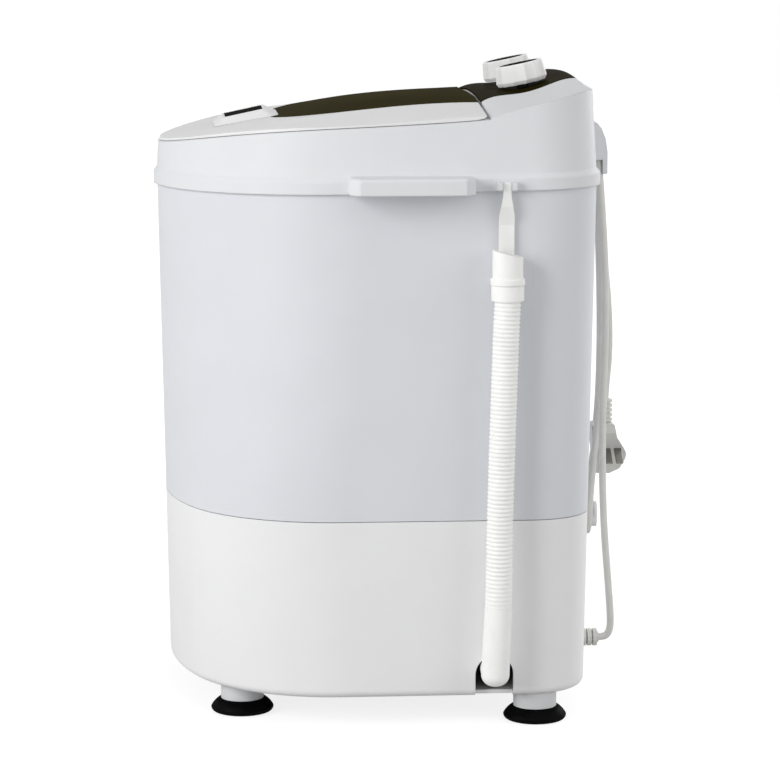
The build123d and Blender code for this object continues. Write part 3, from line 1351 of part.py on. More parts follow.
plate_seat = tab_outline(
    TAB_HEIGHT - PLATE_THICKNESS, TAB_TOP_HALF_WIDTH - PLATE_MARGIN, TAB_TOP_FRONT + PLATE_MARGIN,
    TAB_TOP_BACK - PLATE_MARGIN, PLATE_CORNER,
)
with BuildPart() as lid_tab:
    add(tab_block(0))
    extrude(plate_seat, amount=PLATE_THICKNESS + 1, mode=Mode.SUBTRACT)
    add(lid_top, mode=Mode.SUBTRACT)
lid_tab.part.label = "lid_tab"
export_step(lid_tab.part, "parts/lid_tab.step")

with BuildPart() as lid_plate:
    extrude(plate_seat, amount=PLATE_THICKNESS - PLATE_RECESS)
lid_plate.part.label = "lid_plate"
export_step(lid_plate.part, "parts/lid_plate.step")

# Dark inlay of the console, flush with the white border
with BuildPart() as control_inlay:
    add(inlay_block())
    add(console_top, mode=Mode.INTERSECT)
    add(console_volume(INLAY_THICKNESS), mode=Mode.SUBTRACT)
    for side in (-1, 1):
        with BuildSketch(knob_plane(side, -12)):
            Circle(NECK_RADIUS)
        extrude(amount=24, mode=Mode.SUBTRACT)
control_inlay.part.label = "control_inlay"
export_step(control_inlay.part, "parts/control_inlay.step")

# Cover that closes the console from below: a floor with an upright front edge that meets the deck
COVER_FRONT = CONSOLE_FRONT - COVER_SETBACK
with BuildPart() as cover_floor:
    add(upper_block(WALL))
    add(between(COVER_FRONT, 200, CONSOLE_COVER_HEIGHT - WALL, CONSOLE_COVER_HEIGHT), mode=Mode.INTERSECT)
with BuildPart() as console_cover:
    add(upper_block(WALL))
    add(
        between(COVER_FRONT, 200, CONSOLE_COVER_HEIGHT - WALL, CONSOLE_COVER_HEIGHT + 40),
        mode=Mode.INTERSECT,
    )
    add(between(COVER_FRONT + WALL, 200, CONSOLE_COVER_HEIGHT, 560), mode=Mode.SUBTRACT)
    add(under_line(DECK_LINE, DECK, -192, 80), mode=Mode.INTERSECT)
    add(cover_floor.part)
console_cover.part.label = "console_cover"
export_step(console_cover.part, "parts/console_cover.step")


# Knobs with their discs, shafts and the switch bodies under the console
def knob(side):
    """Twelve-sided knob: plain band that widens from the foot, flat tapering sides, recess for the disc."""
    with BuildPart() as part:
        with BuildSketch(knob_plane(side, KNOB_LIFT)):
            RegularPolygon(KNOB_RADIUS - KNOB_BAND_STEP, KNOB_FACETS)
        with BuildSketch(knob_plane(side, KNOB_LIFT + KNOB_BAND)):
            RegularPolygon(KNOB_RADIUS, KNOB_FACETS)
        loft(ruled=True)
        with BuildSketch(knob_plane(side, KNOB_LIFT + KNOB_BAND)):
            RegularPolygon(KNOB_RADIUS, KNOB_FACETS)
        with BuildSketch(knob_plane(side, KNOB_LIFT + KNOB_HEIGHT)):
            RegularPolygon(KNOB_TOP_RADIUS, KNOB_FACETS)
        loft(ruled=True)
        with BuildSketch(knob_plane(side, KNOB_LIFT + KNOB_HEIGHT - KNOB_CAP_THICKNESS)):
            Circle(KNOB_CAP_RADIUS)
        extrude(amount=KNOB_CAP_THICKNESS + 1, mode=Mode.SUBTRACT)
        with BuildSketch(knob_plane(side, KNOB_LIFT - 1)):
            Circle(KNOB_SHAFT_RADIUS)
        extrude(amount=KNOB_SHAFT_GRIP + 1, mode=Mode.SUBTRACT)
    return part.part


def knob_cap(side):
    """Thin disc in the knob's top."""
    with BuildPart() as part:
        with BuildSketch(knob_plane(side, KNOB_LIFT + KNOB_HEIGHT - KNOB_CAP_THICKNESS)):
            Circle(KNOB_CAP_RADIUS)
        extrude(amount=KNOB_CAP_THICKNESS - 0.2)
    return part.part


def knob_shaft(side):
    """Round shaft from the switch into the knob."""
    with BuildPart() as part:
        with BuildSketch(knob_plane(side, -SWITCH_DROP - SWITCH_DEPTH / 2)):
            Circle(KNOB_SHAFT_RADIUS)
        extrude(amount=SWITCH_DROP + SWITCH_DEPTH / 2 + KNOB_LIFT + KNOB_SHAFT_GRIP)
    return part.part


console_inside = console_volume(CONSOLE_SKIN)


def switch_body(side):
    """Switch or timer under the console: box, seat against the skin and a neck through it."""
    bore = KNOB_SHAFT_RADIUS + RUNNING_CLEARANCE
    with BuildPart() as part:
        with BuildSketch(knob_plane(side, -SWITCH_DROP - SWITCH_DEPTH)):
            RectangleRounded(SWITCH_LENGTH, SWITCH_WIDTH, 3)
        extrude(amount=SWITCH_DEPTH)
        with BuildSketch(knob_plane(side, -SWITCH_DROP)):
            Circle(SWITCH_SEAT_RADIUS)
        extrude(amount=SWITCH_DROP + 4)
        add(console_inside, mode=Mode.INTERSECT)
        with BuildSketch(knob_plane(side, -SWITCH_DROP)):
            Circle(NECK_RADIUS - FIT_GAP)
        extrude(amount=SWITCH_DROP + NECK_PROUD)
        with BuildSketch(knob_plane(side, -SWITCH_DROP - SWITCH_DEPTH / 2 - 1)):
            Circle(bore)
        extrude(amount=SWITCH_DEPTH + SWITCH_DROP + 10, mode=Mode.SUBTRACT)
    return part.part


for label, side in (("timer", -1), ("selector", 1)):
    for piece, solid in (
        ("knob", knob(side)), ("cap", knob_cap(side)), ("shaft", knob_shaft(side)),
        ("body", switch_body(side)),
    ):
        solid.label = label + "_" + piece
        export_step(solid, "parts/" + label + "_" + piece + ".step")

# Hood that carries the cord at the top of the back: curved shell, open below, with a round bar inside
BACK_UPPER = BODY_BACK + upper_grow_at(HOOD_TOP)
HOOD_REACH = BACK_UPPER + HOOD_DEPTH
HOOD_RISE = HOOD_TOP - HOOD_LOW
HOOD_ROOT = BODY_BACK - 17.5
HOOD_LINE = [(BACK_UPPER - 2, HOOD_TOP)] + [
    (BACK_UPPER + out * HOOD_DEPTH, HOOD_TOP - down * HOOD_RISE) for out, down in HOOD_SHAPE
]
with BuildPart() as hood_outer:
    with BuildSketch(Plane.YZ.offset(LOOP_X - HOOD_HALF_WIDTH)):
        with BuildLine():
            Polyline(*HOOD_LINE, (BACK_UPPER - 2, HOOD_LOW), HOOD_LINE[0])
        make_face()
    extrude(amount=2 * HOOD_HALF_WIDTH)
with BuildPart() as hood_inner:
    with BuildSketch(Plane.YZ.offset(LOOP_X - HOOD_HALF_WIDTH + HOOD_WALL)):
        with BuildLine():
            Polyline(*HOOD_LINE, (BACK_UPPER - 2, HOOD_LOW), HOOD_LINE[0])
        make_face()
        offset(amount=-HOOD_WALL, kind=Kind.INTERSECTION)
    extrude(amount=2 * (HOOD_HALF_WIDTH - HOOD_WALL))
with BuildPart() as cord_hood:
    add(hood_outer.part)
    fillet(cord_hood.edges().filter_by(Axis.X).group_by(Axis.Y)[-1], 0.8)
    add(hood_inner.part, mode=Mode.SUBTRACT)
    with BuildSketch(Plane.XY.offset(HOOD_LOW - 1)):
        with Locations((LOOP_X, (HOOD_REACH - HOOD_WALL + HOOD_ROOT) / 2)):
            Rectangle(2 * (HOOD_HALF_WIDTH - HOOD_WALL), HOOD_REACH - HOOD_WALL - HOOD_ROOT)
    extrude(amount=6, mode=Mode.SUBTRACT)
    # the side walls end higher up than the lip
    with BuildSketch(Plane.XY.offset(HOOD_LOW - 1)):
        with Locations((LOOP_X, (HOOD_REACH - 2 * HOOD_WALL + HOOD_ROOT) / 2)):
            Rectangle(2 * HOOD_HALF_WIDTH + 2, HOOD_REACH - 2 * HOOD_WALL - HOOD_ROOT)
    extrude(amount=HOOD_SIDE_LOW - HOOD_LOW + 1, mode=Mode.SUBTRACT)
    with BuildSketch(Plane.XZ.offset(-(HOOD_REACH - HOOD_WALL / 2))):
        with Locations((LOOP_X, HOOD_BAR_HEIGHT)):
            Circle(HOOD_BAR_RADIUS)
    extrude(amount=HOOD_REACH - HOOD_ROOT)
    add(upper_block(0), mode=Mode.SUBTRACT)
    add(rim_band.part, mode=Mode.SUBTRACT)
cord_hood.part.label = "cord_hood"
export_step(cord_hood.part, "parts/cord_hood.step")

# Lower cord hook: plate on the base, round peg and an upright lip
with BuildPart() as cord_hook:
    with BuildSketch(Plane.XZ.offset(-(BODY_BACK + HOOK_PLATE))):
        with Locations((LOOP_X, HOOK_HEIGHT + 2)):
            RectangleRounded(2 * HOOK_PLATE_HALF_WIDTH, HOOK_PLATE_HEIGHT, HOOK_PLATE_CORNER)
    extrude(amount=12)
    with BuildSketch(Plane.XZ.offset(-HOOK_REACH)):
        with Locations((LOOP_X, HOOK_HEIGHT)):
            Circle(HOOK_RADIUS)
    extrude(amount=HOOK_REACH - BODY_BACK + 10)
    with BuildSketch(Plane.XZ.offset(-HOOK_REACH)):
        with Locations((LOOP_X, HOOK_LIP_TOP - HOOK_RADIUS)):
            Circle(HOOK_RADIUS)
        with Locations((LOOP_X, (HOOK_LIP_TOP - HOOK_RADIUS + HOOK_HEIGHT) / 2)):
            Rectangle(2 * HOOK_RADIUS, HOOK_LIP_TOP - HOOK_RADIUS - HOOK_HEIGHT)
    extrude(amount=HOOK_LIP)
    add(base_outer, mode=Mode.SUBTRACT)
cord_hook.part.label = "cord_hook"
export_step(cord_hook.part, "parts/cord_hook.step")

# Strain relief through the back wall, with three ribs
RELIEF_WALL = BODY_BACK + grow_at(RELIEF_HEIGHT)
with BuildPart() as strain_relief:
    with BuildSketch(Plane.XZ.offset(-RELIEF_END)):
        with Locations((RELIEF_X, RELIEF_HEIGHT)):
            Circle(RELIEF_CORE_RADIUS)
    extrude(amount=RELIEF_END - RELIEF_WALL + BASE_WALL + 4)
    for rib in range(RELIEF_RIBS):
        with BuildSketch(Plane.XZ.offset(-RELIEF_END + 1.5 + rib * RELIEF_RIB_PITCH)):
            with Locations((RELIEF_X, RELIEF_HEIGHT)):
                Circle(RELIEF_RIB_RADIUS)
        extrude(amount=RELIEF_RIB_PITCH * RELIEF_RIB_SHARE)
    with BuildSketch(Plane.XZ.offset(-RELIEF_WALL - 3)):
        with Locations((RELIEF_X, RELIEF_HEIGHT)):
            Circle(RELIEF_FLANGE_RADIUS)
    extrude(amount=3.5)
    with BuildSketch(Plane.XZ.offset(-RELIEF_WALL + BASE_WALL + 0.4)):
        with Locations((RELIEF_X, RELIEF_HEIGHT)):
            Circle(RELIEF_FLANGE_RADIUS)
    extrude(amount=2.5)
    add(base_housing.part, mode=Mode.SUBTRACT)
strain_relief.part.label = "strain_relief"
export_step(strain_relief.part, "parts/strain_relief.step")


def route_radii(points):
    """Radius at each corner of a route: as large as its two runs allow."""
    radii = []
    for before, corner, after in zip(points, points[1:], points[2:]):
        first = Vector(*corner) - Vector(*before)
        second = Vector(*after) - Vector(*corner)
        turn = math.radians(first.get_angle(second))
        radii.append(0.45 * min(first.length, second.length) / math.tan(turn / 2))
    return radii


# Power cord: one tube round the bar and the hook, from the strain relief to the plug
cord_radii = route_radii(CORD_POINTS)
with BuildPart() as power_cord:
    with BuildLine() as cord_path:
        FilletPolyline(*CORD_POINTS, radius=cord_radii)
    cord_wire = cord_path.wires()[0]
    with BuildSketch(Plane(origin=CORD_POINTS[0], z_dir=cord_wire % 0)):
        Circle(CORD_RADIUS)
    sweep(path=cord_wire)
power_cord.part.label = "power_cord"
export_step(power_cord.part, "parts/power_cord.step")

# Plug: ribbed sleeve, body with a slanted face, two blades
with BuildPart() as plug_sleeve:
    with BuildSketch(Plane.XY.offset(PLUG_TOP - SLEEVE_LENGTH)):
        with Locations((LOOP_X, PLUG_Y)):
            Circle(SLEEVE_CORE_RADIUS)
    extrude(amount=SLEEVE_LENGTH)
    for rib in range(SLEEVE_RIBS):
        rib_low = PLUG_TOP - SLEEVE_LENGTH + rib * SLEEVE_LENGTH / SLEEVE_RIBS + 1
        with BuildSketch(Plane.XY.offset(rib_low)):
            with Locations((LOOP_X, PLUG_Y)):
                Circle(SLEEVE_RADIUS)
        extrude(amount=SLEEVE_LENGTH / SLEEVE_RIBS * 0.55)
plug_sleeve.part.label = "plug_sleeve"
export_step(plug_sleeve.part, "parts/plug_sleeve.step")

face_tilt = math.radians(PLUG_FACE_TILT)
plug_face = Plane(
    origin=(LOOP_X + PLUG_HALF_THICKNESS, 0, PLUG_FACE_TOP), x_dir=(0, 1, 0),
    z_dir=(math.cos(face_tilt), 0, -math.sin(face_tilt)),
)
with BuildPart() as plug_body:
    with BuildSketch(Plane.YZ.offset(LOOP_X - PLUG_HALF_THICKNESS)):
        with BuildLine():
            Polyline(*PLUG_OUTLINE, PLUG_OUTLINE[0])
        make_face()
    extrude(amount=2 * PLUG_HALF_THICKNESS)
    chamfer(plug_body.edges().filter_by(Axis.X), 1.2)
    split(bisect_by=plug_face, keep=Keep.BOTTOM)
plug_body.part.label = "plug_body"
export_step(plug_body.part, "parts/plug_body.step")

blade_drop = (PLUG_FACE_TOP - BLADE_HEIGHT_ON_PLUG) / math.cos(face_tilt)
with BuildPart() as plug_blades:
    with BuildSketch(plug_face):
        for side in (-1, 1):
            with Locations(plug_face.to_local_coords(Vector(
                LOOP_X + PLUG_HALF_THICKNESS - blade_drop * math.sin(face_tilt),
                BLADE_Y + side * BLADE_SPACING / 2,
                PLUG_FACE_TOP - blade_drop * math.cos(face_tilt),
            ))):
                RectangleRounded(BLADE_WIDTH, BLADE_THICKNESS, 0.5)
    extrude(amount=BLADE_LENGTH)
plug_blades.part.label = "plug_blades"
export_step(plug_blades.part, "parts/plug_blades.step")


# Drain hose: boot over the nipple, finely ribbed hose, cuff with a ring and a hanging tongue
def hose_centre(height):
    """Distance back of the hose's centre line at a height."""
    return line_height([(z, y) for y, z in HOSE_LINE], height)


def hose_circle(height, radius, y):
    """A level circle about the hose's centre line."""
    with BuildSketch(Plane(origin=(HOSE_X, y, height), x_dir=(1, 0, 0), z_dir=(0, 0, 1))) as circle:
        Circle(radius)
    return circle.sketch


BOOT_LOW = BOOT_AXIS_HEIGHT - BOOT_RADIUS
with BuildPart() as drain_boot:
    loft([
        hose_circle(BOOT_LOW, BOOT_RADIUS, BOOT_LOW_Y),
        hose_circle(BOOT_JOINT, BOOT_TOP_RADIUS, hose_centre(BOOT_JOINT)),
    ], ruled=True)
    fillet(drain_boot.faces().sort_by(Axis.Z)[0].edges(), BOOT_BOTTOM_ROUND)
    with BuildSketch(Plane.YZ.offset(HOSE_X - BOOT_SOCKET)):
        with Locations((HOSE_Y_LOW, NIPPLE_HEIGHT)):
            Circle(NIPPLE_RADIUS + BOOT_WALL)
    extrude(amount=BOOT_SOCKET)
    loft([
        hose_circle(BOOT_LOW + BOOT_FLOOR, NIPPLE_RADIUS, BOOT_LOW_Y),
        hose_circle(BOOT_JOINT, HOSE_BORE_RADIUS, hose_centre(BOOT_JOINT)),
    ], ruled=True, mode=Mode.SUBTRACT)
    with BuildSketch(Plane.YZ.offset(HOSE_X - BOOT_SOCKET - 1)):
        with Locations((HOSE_Y_LOW, NIPPLE_HEIGHT)):
            Circle(NIPPLE_RADIUS)
    extrude(amount=BOOT_SOCKET + 1, mode=Mode.SUBTRACT)
drain_boot.part.label = "drain_boot"
export_step(drain_boot.part, "parts/drain_boot.step")

rib_count = int((HOSE_TOP - BOOT_JOINT) / HOSE_RIB_PITCH)
rib_pitch = (HOSE_TOP - BOOT_JOINT) / rib_count
RIB_PROFILE = (
    (0.0, HOSE_ROOT_RADIUS), (0.35, HOSE_ROOT_RADIUS), (0.5, HOSE_RIB_RADIUS), (0.85, HOSE_RIB_RADIUS),
)
rib_circles = []
for rib in range(rib_count):
    for share, radius in RIB_PROFILE:
        level = BOOT_JOINT + (rib + share) * rib_pitch
        rib_circles.append(hose_circle(level, radius, hose_centre(level)))
rib_circles.append(hose_circle(HOSE_TOP, HOSE_ROOT_RADIUS, hose_centre(HOSE_TOP)))
bore_circles = [hose_circle(z, HOSE_BORE_RADIUS, y) for y, z in HOSE_LINE]
with BuildPart() as drain_hose:
    loft(rib_circles, ruled=True)
    loft(bore_circles, ruled=True, mode=Mode.SUBTRACT)
drain_hose.part.label = "drain_hose"
export_step(drain_hose.part, "parts/drain_hose.step")

tongue_near = HOSE_X - CUFF_RADIUS
neck_near = CLIP_FACE + CLIP_PLATE + NECK_CLEARANCE
with BuildPart() as cuff_ring:
    with BuildSketch(Plane.XY.offset(CUFF_RING_LOW)):
        with Locations((HOSE_X, CUFF_Y)):
            Circle(CUFF_RING_RADIUS)
    extrude(amount=CUFF_RING_HIGH - CUFF_RING_LOW)
    fillet(cuff_ring.edges().filter_by(GeomType.CIRCLE), CUFF_RING_ROUND)
with BuildPart() as hose_cuff:
    with BuildSketch(Plane.XY.offset(HOSE_TOP)):
        with Locations((HOSE_X, CUFF_Y)):
            Circle(CUFF_RADIUS)
    extrude(amount=CUFF_TOP_FRONT - HOSE_TOP)
    with BuildSketch(Plane.YZ.offset(HOSE_X - 30)):
        with BuildLine():
            Polyline(
                (CUFF_Y - 20, CUFF_TOP_FRONT + 3), (CUFF_Y + 20, CUFF_TOP_FRONT + 3),
                (CUFF_Y + 20, CUFF_TOP_BACK - 2), (CUFF_Y - 20, CUFF_TOP_FRONT + 2),
                (CUFF_Y - 20, CUFF_TOP_FRONT + 3),
            )
        make_face()
    extrude(amount=60, mode=Mode.SUBTRACT)
    with BuildSketch(Plane.XY.offset(HOSE_TOP)):
        with Locations((HOSE_X, CUFF_Y)):
            Circle(CUFF_LOWER_RADIUS)
    extrude(amount=CUFF_RING_LOW - HOSE_TOP)
    add(cuff_ring.part)
    with BuildSketch(Plane.XY.offset(HOSE_TOP + 3)):
        with Locations((HOSE_X, CUFF_Y)):
            Circle(CUFF_BORE_RADIUS)
    extrude(amount=60, mode=Mode.SUBTRACT)
    with BuildSketch(Plane.XY.offset(HOSE_TOP - 1)):
        with Locations((HOSE_X, CUFF_Y)):
            Circle(HOSE_BORE_RADIUS)
    extrude(amount=10, mode=Mode.SUBTRACT)
    # tongue that rises from the cuff, bends out past the rim and narrows to the neck
    with BuildSketch(Plane.XZ.offset(-CUFF_Y - TONGUE_WIDTH / 2)):
        with BuildLine():
            Polyline(
                (tongue_near, CUFF_TOP_BACK - TONGUE_ROOT), (tongue_near, TONGUE_BEND_LOW),
                (neck_near, TONGUE_BEND_HIGH), (neck_near, NECK_TOP),
                (neck_near + TONGUE_THICKNESS, NECK_TOP),
                (neck_near + TONGUE_THICKNESS, TONGUE_BEND_HIGH - TONGUE_BEND_STEP),
                (tongue_near + TONGUE_THICKNESS, TONGUE_BEND_LOW - TONGUE_BEND_STEP),
                (tongue_near + TONGUE_THICKNESS, CUFF_TOP_BACK - TONGUE_ROOT),
                (tongue_near, CUFF_TOP_BACK - TONGUE_ROOT),
            )
        make_face()
    extrude(amount=TONGUE_WIDTH)
    # the tongue tapers to its neck
    with BuildSketch(Plane.YZ.offset(tongue_near - 1)):
        for side in (-1, 1):
            with BuildLine():
                Polyline(
                    (CUFF_Y + side * TONGUE_WIDTH / 2, NECK_SHOULDER),
                    (CUFF_Y + side * NECK_WIDTH / 2, NECK_LOW),
                    (CUFF_Y + side * NECK_WIDTH / 2, NECK_TOP + 1),
                    (CUFF_Y + side * TONGUE_WIDTH, NECK_TOP + 1),
                    (CUFF_Y + side * TONGUE_WIDTH, NECK_SHOULDER),
                    (CUFF_Y + side * TONGUE_WIDTH / 2, NECK_SHOULDER),
                )
            make_face()
    extrude(amount=neck_near + TONGUE_THICKNESS - tongue_near + 2, mode=Mode.SUBTRACT)
hose_cuff.part.label = "hose_cuff"
export_step(hose_cuff.part, "parts/hose_cuff.step")
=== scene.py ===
"""Finishes of a portable washing machine, laid out as a Blender add-on and run as a script.

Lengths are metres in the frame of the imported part: +Z up, -Y the front, +X the side of the drain hose.
"""
import math

import bpy
import numpy as np
from bpy.props import FloatProperty, FloatVectorProperty, PointerProperty
from mathutils import Matrix, Vector


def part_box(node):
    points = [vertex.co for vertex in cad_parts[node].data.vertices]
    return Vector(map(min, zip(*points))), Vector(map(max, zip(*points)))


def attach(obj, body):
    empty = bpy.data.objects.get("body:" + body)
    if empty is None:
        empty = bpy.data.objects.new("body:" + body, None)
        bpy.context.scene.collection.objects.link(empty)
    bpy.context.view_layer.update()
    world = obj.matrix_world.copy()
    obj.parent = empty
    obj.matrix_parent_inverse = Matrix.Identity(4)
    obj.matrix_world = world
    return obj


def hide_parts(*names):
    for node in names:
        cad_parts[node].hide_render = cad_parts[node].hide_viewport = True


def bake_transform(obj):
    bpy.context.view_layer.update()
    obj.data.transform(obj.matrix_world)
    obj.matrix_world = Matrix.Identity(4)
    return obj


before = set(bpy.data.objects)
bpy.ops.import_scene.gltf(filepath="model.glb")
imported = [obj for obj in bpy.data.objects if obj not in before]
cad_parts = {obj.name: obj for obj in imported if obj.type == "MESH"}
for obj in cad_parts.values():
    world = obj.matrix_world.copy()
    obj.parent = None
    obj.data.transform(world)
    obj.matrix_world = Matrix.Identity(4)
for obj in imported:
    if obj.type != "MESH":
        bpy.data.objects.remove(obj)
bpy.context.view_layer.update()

bl_info = {
    "name": "Portable washing machine finishes",
    "version": (1, 0, 0),
    "blender": (4, 5, 0),
    "location": "3D View > Sidebar > Washer",
    "description": "Dresses a portable washing machine with its plastics, hose, cord and studio",
    "category": "Object",
}

# Centre line of the drain hose: distance back and height
HOSE_LINE = [
    (0.0792, 0.0880), (0.0792, 0.1000), (0.0795, 0.1210), (0.0804, 0.1860), (0.0825, 0.2640),
    (0.0842, 0.3210), (0.0850, 0.3420), (0.0850, 0.3450),
]
# Rings in one pitch of its ribs, points on each ring, and height over which the ribs grow out of the boot
HOSE_PITCH_RINGS, HOSE_RING_POINTS, HOSE_RIB_RISE = 12, 48, 0.06

# Rings of a knob's skin, from its bore up the outside to the recess in its top: radius, height above the
# inlay and share of the fluted outline
KNOB_PROFILE = [
    (0.0029, 0.01255, 0.0), (0.00302, 0.0124, 0.0), (0.00302, 0.0017, 0.0), (0.0032, 0.00155, 0.0),
    (0.0140, 0.00155, 0.0), (0.0190, 0.00155, 1.0), (0.0196, 0.0016, 1.0), (0.0198, 0.0018, 1.0),
    (0.0205, 0.0031, 1.0), (0.0211, 0.0042, 1.0), (0.0213, 0.0046, 1.0), (0.0212, 0.0051, 1.0),
    (0.0209, 0.0076, 1.0), (0.0203, 0.0124, 1.0), (0.0199, 0.0160, 1.0), (0.0197, 0.0172, 1.0),
    (0.0195, 0.0177, 1.0), (0.0191, 0.0180, 1.0), (0.0186, 0.01815, 0.9), (0.0166, 0.01815, 0.3),
    (0.0159, 0.0181, 0.0), (0.01564, 0.0179, 0.0), (0.01564, 0.0173, 0.0), (0.0154, 0.01715, 0.0),
]
# Fluted outline: number of sides, points along each, radius over the depth of their hollow, and turn
KNOB_SIDES, KNOB_SIDE_POINTS, KNOB_HOLLOW, KNOB_TURN = 12, 14, 30, math.radians(5.0)
# Axes of the two knobs: distance to each side of the middle, distance back, height, and lean to the front
KNOB_ACROSS, KNOB_BACK, KNOB_HEIGHT, KNOB_LEAN = 0.05, 0.1126, 0.5006, math.radians(12.0)

# Route of the power cord, from the strain relief to the plug
CORD_ROUTE = [
    (0.0600, 0.1774, 0.0436), (0.0600, 0.1822, 0.0436), (0.0599, 0.1858, 0.0462),
    (0.0596, 0.1876, 0.0514), (0.0592, 0.1878, 0.0600), (0.0580, 0.1870, 0.0740),
    (0.0555, 0.1852, 0.0990), (0.0510, 0.1826, 0.1360), (0.0450, 0.1816, 0.1840),
    (0.0380, 0.1828, 0.2400), (0.0310, 0.1856, 0.2980), (0.0250, 0.1856, 0.3460),
    (0.0204, 0.1840, 0.3830), (0.0166, 0.1828, 0.4080), (0.0150, 0.1811, 0.4280),
    (0.0146, 0.1794, 0.4465), (0.0025, 0.1770, 0.4586), (-0.0145, 0.1770, 0.4586),
    (-0.0266, 0.1792, 0.4465), (-0.0265, 0.1810, 0.4280), (-0.0260, 0.1846, 0.4080),
    (-0.0254, 0.1862, 0.3780), (-0.0244, 0.1879, 0.3340), (-0.0236, 0.1888, 0.2800),
    (-0.0229, 0.1874, 0.2260), (-0.0224, 0.1828, 0.1760), (-0.0198, 0.1798, 0.1460),
    (-0.0170, 0.1780, 0.1274), (-0.0106, 0.1768, 0.1210), (-0.0014, 0.1762, 0.1210),
    (0.0050, 0.1762, 0.1274), (0.0082, 0.1766, 0.1450), (0.0102, 0.1785, 0.1770),
    (0.0104, 0.1838, 0.2260), (0.0099, 0.1854, 0.2810), (0.0092, 0.1852, 0.3340),
    (0.0084, 0.1842, 0.3780), (0.0082, 0.1830, 0.4070), (0.0080, 0.1810, 0.4270),
    (0.0079, 0.1794, 0.4438), (-0.0002, 0.1774, 0.4519), (-0.0118, 0.1774, 0.4519),
    (-0.0199, 0.1792, 0.4438), (-0.0196, 0.1810, 0.4280), (-0.0190, 0.1852, 0.4100),
    (-0.0176, 0.1882, 0.3840), (-0.0150, 0.1909, 0.3480), (-0.0116, 0.1943, 0.3080),
    (-0.0080, 0.1945, 0.2720), (-0.0060, 0.1920, 0.2500), (-0.0060, 0.1910, 0.2340),
]

CORNERS = ("front_left", "front_right", "rear_left", "rear_right")

# Camera: place, turn to the back and tilt down
CAMERA_PLACE = (2.4477, -0.1701, 0.6116)
CAMERA_HEADING, CAMERA_PITCH = math.radians(4.17), math.radians(8.52)

# Lamps: name, setting that gives the power, place and side of the square; all of them face the target
LAMPS = (
    ("key_lamp", "key", (1.35, -1.92, 1.05), 1.5),
    ("side_lamp", "fill", (1.35, 1.93, 0.95), 1.3),
    ("back_lamp", "back", (-1.55, 1.65, 0.9), 1.2),
)
LAMP_TARGET = (0.0, 0.0, 0.26)

# Floor: half its side, its height, and its tone to other light and to the camera
FLOOR_HALF, FLOOR_HEIGHT = 9.0, -0.0002
FLOOR_TONE, FLOOR_TONE_SEEN = 0.52, 0.30
# Glow of the floor to the camera, which grows from the first distance to the second
FLOOR_GLOW_REACH, FLOOR_GLOW = (0.45, 1.3), (0.82, 1.0)


class WasherShellSettings(bpy.types.PropertyGroup):
    """Colours and surface of the moulded housing."""

    white: FloatVectorProperty(
        name="White plastic", description="Base and lower cord hook", subtype="COLOR",
        default=(0.850, 0.850, 0.856), min=0.0, max=1.0)
    # The lid is the same white plastic as the base; its colour is made darker as painted shade, for the
    # weaker light from above.
    lid: FloatVectorProperty(
        name="Lid plastic", description="Lid frame and its tab", subtype="COLOR",
        default=(0.800, 0.800, 0.804), min=0.0, max=1.0)
    # The top frame is the same white plastic as the base; its colour is made darker as painted shade, for how
    # the light falls on it.
    top: FloatVectorProperty(
        name="Top frame plastic", description="Top frame, clip, cord hood and console floor", subtype="COLOR",
        default=(0.762, 0.768, 0.786), min=0.0, max=1.0)
    tub: FloatVectorProperty(
        name="Tub plastic", description="Light grey body with its grille and pulsator", subtype="COLOR",
        default=(0.716, 0.731, 0.766), min=0.0, max=1.0)
    leg: FloatVectorProperty(
        name="Leg plastic", description="Legs between base and feet, and the knobs' shafts", subtype="COLOR",
        default=(0.700, 0.706, 0.716), min=0.0, max=1.0)
    knob: FloatVectorProperty(
        name="Knob plastic", description="Turning knobs on the console", subtype="COLOR",
        default=(0.920, 0.920, 0.915), min=0.0, max=1.0)
    smoke: FloatVectorProperty(
        name="Smoked plastic", description="Lid window, console inlay, plate and knob discs", subtype="COLOR",
        default=(0.032, 0.026, 0.006), min=0.0, max=1.0)
    roughness: FloatProperty(
        name="Roughness", description="Mean roughness of the moulded plastic", default=0.34, min=0.05,
        max=1.0)


class WasherHoseSettings(bpy.types.PropertyGroup):
    """Sizes of the ribbed drain hose."""

    across: FloatProperty(
        name="Distance from the middle", description="How far the hose stands out to the side",
        default=0.195, unit="LENGTH")
    rib_radius: FloatProperty(
        name="Rib radius", description="Outer radius on a rib", default=0.0104, unit="LENGTH")
    root_radius: FloatProperty(
        name="Root radius", description="Outer radius between two ribs", default=0.0098, unit="LENGTH")
    bore_radius: FloatProperty(
        name="Bore radius", description="Radius of the hose's bore", default=0.0076, unit="LENGTH")
    pitch: FloatProperty(
        name="Rib pitch", description="Distance from rib to rib", default=0.0033, unit="LENGTH")
    colour: FloatVectorProperty(
        name="Hose plastic", description="Hose, boot and cuff", subtype="COLOR",
        default=(0.950, 0.950, 0.925), min=0.0, max=1.0)


class WasherCordSettings(bpy.types.PropertyGroup):
    """Sizes and colour of the power cord."""

    radius: FloatProperty(
        name="Cord radius", description="Radius of the sheath", default=0.00295, unit="LENGTH")
    length: FloatProperty(
        name="Cord length", description="Length from strain relief to plug", default=1.369, unit="LENGTH")
    colour: FloatVectorProperty(
        name="Sheath", description="Cord, strain relief and plug", subtype="COLOR",
        default=(0.700, 0.696, 0.665), min=0.0, max=1.0)


